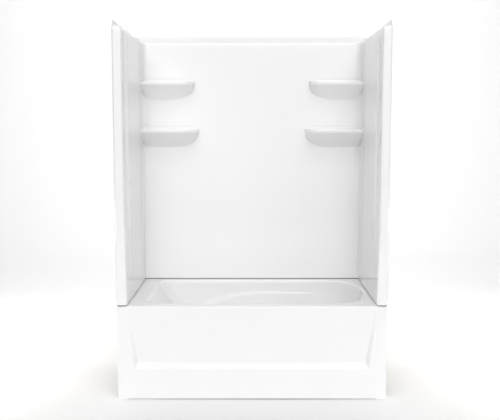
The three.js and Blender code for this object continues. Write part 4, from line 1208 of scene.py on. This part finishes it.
HEX_TURN = math.pi / 3
HEX_CORNER = 0.0058
HEX_FLAT = HEX_CORNER * math.cos(HEX_TURN / 2)
BOLT_FRONT, BOLT_BACK = 0.6327, 0.6483
HEAD_HEIGHT, NUT_HEIGHT, BOLT_END = 0.0042, 0.0052, 0.6575
SHANK, BORE, BORE_EASE = 0.0032, 0.0034, 0.0005
THREAD_START, THREAD_DEPTH, PITCH = 0.002, 0.0005, 0.001
FACE_RADIUS, CHAMFER, CHAMFER_RUN = 0.0048, 0.0054, 0.0005
TOP_RADIUS, TOP_EDGE = 0.0046, 0.0001
UNDER_HEAD, UNDER_HEAD_RUN = 0.0052, 0.0003
POINT, POINT_RUN = 0.0009, 0.0005
BORE_RUN = 0.0006
HEX_START = 0.0008
ROUND_POINTS = 24


def hex_ring(y, radius=None, most=1.0):
    """A ring at one depth: round with a radius, or six-sided and held within most."""
    ring = []
    for turn in steps(0, 4 * QUARTER, ROUND_POINTS)[:-1]:
        flat = HEX_FLAT / math.cos((turn + HEX_TURN / 2) % HEX_TURN - HEX_TURN / 2)
        reach = min(flat, most) if radius is None else radius
        ring.append((reach * math.sin(turn), y, reach * math.cos(turn)))
    return ring


def bolt():
    """A hexagon bolt with a chamfered head, a thread in rings and a pointed end."""
    front, back = BOLT_FRONT - HEAD_HEIGHT, BOLT_FRONT
    rings = [hex_ring(front, TOP_RADIUS), hex_ring(front + TOP_EDGE, FACE_RADIUS)]
    rings += [hex_ring(front + CHAMFER_RUN, most=CHAMFER), hex_ring(front + HEX_START)]
    rings += [hex_ring(back - UNDER_HEAD_RUN), hex_ring(back, most=UNDER_HEAD), hex_ring(back, SHANK)]
    y = back + THREAD_START
    while y + PITCH < BOLT_END - POINT_RUN:
        rings += [hex_ring(y, SHANK), hex_ring(y + PITCH / 2, SHANK - THREAD_DEPTH)]
        y += PITCH
    rings += [hex_ring(y, SHANK), hex_ring(BOLT_END, SHANK - POINT)]
    return body_of_rings("seam_bolt", rings)


def nut():
    """A hexagon nut, chamfered on both faces."""
    front, back = BOLT_BACK, BOLT_BACK + NUT_HEIGHT
    rings = []
    for y, inward in ((front, 1), (back, -1)):
        end = [hex_ring(y + BORE_RUN * inward, BORE), hex_ring(y, BORE + BORE_EASE), hex_ring(y, FACE_RADIUS)]
        end += [hex_ring(y + CHAMFER_RUN * inward, most=CHAMFER), hex_ring(y + HEX_START * inward)]
        rings += end[::inward]
    piece = sheet("seam_nut", [ring + ring[:1] for ring in rings + rings[:1]], closed=True)
    return face_out(piece)


def copies(piece, name, stuff):
    """One copy of a bolt or nut at each of its places, each with its own mesh."""
    piece.data.materials.append(stuff)
    smooth(piece, EDGE_ANGLE)
    for side, x in (("left", -BOLT_X), ("right", BOLT_X)):
        for i, z in enumerate(BOLT_HEIGHTS, 1):
            hold(piece)
            bpy.ops.object.duplicate()
            bpy.context.object.location = at(x, 0, z)
            finish_piece(settle(f"{name}_{side}_{i}_turned"), "zinc_steel", f"{name}_{side}_{i}")
    discard(piece)


class UNIT_OT_timber(bpy.types.Operator):
    """Builds the runners, stiffeners and braces under the tub"""

    bl_idname = "unit.timber"
    bl_label = "Timber"

    def execute(self, context):
        stuff = {axis: softwood(axis) for axis in AXES}
        names = ("base_runner", "deck_stiffener", "apron_brace")
        for solid in sorted(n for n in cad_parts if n.startswith(names)):
            dressed(solid, solid + "_sawn", SAWN_EDGE, "timber", stuff[way(solid, max)])
        return {"FINISHED"}


class UNIT_OT_boards(bpy.types.Operator):
    """Builds the boards behind the walls and finishes the one under the basin"""

    bl_idname = "unit.boards"
    bl_label = "Boards"

    def execute(self, context):
        stuff = {axis: plywood(axis) for axis in AXES}
        for solid in sorted(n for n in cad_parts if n.startswith("backing")):
            dressed(solid, solid + "_cut", BOARD_EDGE, "plywood", stuff[way(solid, min)])
        refinish("basin_base_board", stuff["z"])
        return {"FINISHED"}


class UNIT_OT_seals(bpy.types.Operator):
    """Finishes the seal strips on the deck and in the seams"""

    bl_idname = "unit.seals"
    bl_label = "Seals"

    def execute(self, context):
        strip = foam()
        for solid in sorted(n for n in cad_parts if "_seal_" in n):
            refinish(solid, strip)
        return {"FINISHED"}


class UNIT_OT_bolts(bpy.types.Operator):
    """Builds the seam bolts and their nuts"""

    bl_idname = "unit.bolts"
    bl_label = "Bolts"

    def execute(self, context):
        plated = zinc()
        copies(bolt(), "seam_bolt", plated)
        copies(nut(), "seam_nut", plated)
        return {"FINISHED"}


CAMERA_PLACE, CAMERA_PITCH = (0, -4.613, 1.522), 6.03
FOCAL_LENGTH, SENSOR, CAMERA_SHIFT = 55.19, 36, -0.004
FLOOR_FRONT, FLOOR_BACK, FLOOR_CURVE, FLOOR_TOP, FLOOR_HALF = -6.5, 4, 3, 9, 8
CURVE_STEPS, ACROSS_STEPS = 16, 8
WHITE = (1, 1, 1, 1)


def lamp(name, kind, place, aim, energy):
    """Adds a lamp that points at aim."""
    holder = bpy.data.objects.new(name, bpy.data.lights.new(name, kind))
    holder.data.energy = energy
    holder.location = place
    holder.rotation_euler = (Vector(aim) - Vector(place)).to_track_quat("-Z", "Y").to_euler()
    bpy.context.scene.collection.objects.link(holder)
    return holder


def soft_light(name, place, aim, size, energy):
    """Adds a wide, soft lamp."""
    holder = lamp(name, "AREA", place, aim, energy)
    holder.data.shape = "RECTANGLE"
    holder.data.size, holder.data.size_y = size
    return holder


def far_light(name, right, up, width, strength):
    """Adds a broad light from far in front, so many degrees to the right and up."""
    across, rise = math.radians(right), math.radians(up)
    place = (math.sin(across), -math.cos(across), math.tan(rise))
    lamp(name, "SUN", place, (0, 0, 0), strength).data.angle = math.radians(width)


def studio_floor():
    """A pale floor that curves up behind into a backdrop."""
    r = FLOOR_CURVE
    profile = [(FLOOR_FRONT, 0)] + arc(FLOOR_BACK, r, r, r, -QUARTER, 0, CURVE_STEPS)
    profile.append((FLOOR_BACK + r, FLOOR_TOP))
    rows = [[(x, y, z) for x in steps(-FLOOR_HALF, FLOOR_HALF, ACROSS_STEPS)] for y, z in profile]
    floor = sheet("studio_floor", rows)
    smooth(floor, FLOOR_ANGLE)
    floor.data.materials.append(studio_paint())


def studio_paint():
    """Matt emulsion, rolled on: nearly even, with a faint cloudiness."""
    material, tree, shader, place = finish("matt studio paint")
    base = bpy.context.scene.unit_finishes.floor
    cloud = node(tree, "ShaderNodeTexNoise", Vector=place, Scale=0.6, Detail=3.0)
    tint = shades(tree, cloud.outputs["Fac"], [(0.3, darker(base, 0.995)), (0.7, base)])
    node(tree, shader, Base_Color=tint, Roughness=0.85)
    return material


def studio_world():
    """An even world, nearly dark as a light, and pale where the camera looks past the floor."""
    studio = bpy.context.scene.unit_studio
    world = bpy.data.worlds.new("even studio light")
    bpy.context.scene.world = world
    world.use_nodes = True
    tree = world.node_tree
    dim = node(tree, tree.nodes["Background"], Color=WHITE, Strength=studio.world_strength)
    pale = node(tree, "ShaderNodeBackground", Color=WHITE, Strength=studio.surround_strength)
    seen = node(tree, "ShaderNodeLightPath").outputs["Is Camera Ray"]
    both = node(tree, "ShaderNodeMixShader", i0=seen, i1=dim.outputs[0], i2=pale.outputs[0])
    node(tree, tree.nodes["World Output"], Surface=both.outputs[0])


def photo_camera():
    """The camera that sees the unit as the photo does."""
    lens = bpy.data.cameras.new("photo camera")
    lens.lens, lens.sensor_width, lens.shift_x = FOCAL_LENGTH, SENSOR, CAMERA_SHIFT
    camera = bpy.data.objects.new("photo camera", lens)
    camera.location = CAMERA_PLACE
    camera.rotation_euler = (math.radians(90 - CAMERA_PITCH), 0, 0)
    bpy.context.scene.collection.objects.link(camera)
    bpy.context.scene.camera = camera


class UNIT_OT_stage(bpy.types.Operator):
    """Builds the studio: floor, light and camera"""

    bl_idname = "unit.stage"
    bl_label = "Studio"

    def execute(self, context):
        studio_floor()
        studio_world()
        photo_camera()
        context.scene.view_settings.view_transform = "Standard"
        studio = context.scene.unit_studio
        soft_light("front light", (0, -4.6, 3.6), (0, 0.5, 0.5), (5.0, 1.5), studio.front_power)
        soft_light("high light", (0, -3.6, 4.2), (0, 0.7, 0.6), (4.6, 0.3), studio.high_power)
        low = soft_light("low light", (0, -5.6, 0.45), (0, 0.4, 1.1), (3.0, 0.8), studio.low_power)
        low.visible_glossy = False  # so that its mirror image doesn't stand on the back wall
        soft_light("top light", (0, -1.6, 4.8), (0, -0.4, 0), (5.0, 3.0), studio.top_power)
        soft_light("rear light", (0, 1.8, 5.2), (0, 0.4, 0), (6.0, 2.0), studio.rear_power)
        soft_light("floor light", (0, -3.0, 6.0), (0, -2.6, 0), (8.0, 1.5), studio.floor_power)
        for side in (-1, 1):
            beside, aim = (2.4 * side, 0.3, 0.8), (1.3 * side, 0.3, 0)
            soft_light("floor light beside", beside, aim, (2.5, 0.4), studio.beside_power)
        soft_light("backdrop light", (0, 2.4, 5.4), (0, 6.6, 0.6), (9.0, 1.5), studio.backdrop_power)
        far_light("key light", 0, 24, 28, studio.key_strength)
        far_light("side light", 34, 13, 24, studio.side_strength)
        return {"FINISHED"}


class UNIT_PT_panel(bpy.types.Panel):
    """Lists the unit's pieces"""

    bl_idname = "UNIT_PT_panel"
    bl_label = "Tub and Shower Unit"
    bl_space_type = "VIEW_3D"
    bl_region_type = "UI"
    bl_category = "Shower Unit"

    def draw(self, context):
        for operator in OPERATORS:
            self.layout.operator(operator.bl_idname)


GROUPS = {
    "tub_sizes": TubSizes,
    "wall_sizes": WallSizes,
    "unit_finishes": Finishes,
    "unit_studio": StudioSettings,
}
OPERATORS = [
    UNIT_OT_stage,
    UNIT_OT_tub,
    UNIT_OT_end_walls,
    UNIT_OT_back_wall,
    UNIT_OT_timber,
    UNIT_OT_boards,
    UNIT_OT_seals,
    UNIT_OT_bolts,
]


def register():
    for name, group in GROUPS.items():
        bpy.utils.register_class(group)
        setattr(bpy.types.Scene, name, PointerProperty(type=group))
    for made in OPERATORS + [UNIT_PT_panel]:
        bpy.utils.register_class(made)


def unregister():
    for made in [UNIT_PT_panel] + OPERATORS[::-1]:
        bpy.utils.unregister_class(made)
    for name, group in reversed(GROUPS.items()):
        delattr(bpy.types.Scene, name)
        bpy.utils.unregister_class(group)


def main():
    register()
    gelcoat()
    laminate()
    for operator in OPERATORS:
        getattr(bpy.ops.unit, operator.bl_idname.split(".")[1])()
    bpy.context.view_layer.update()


if __name__ == "__main__":
    main()
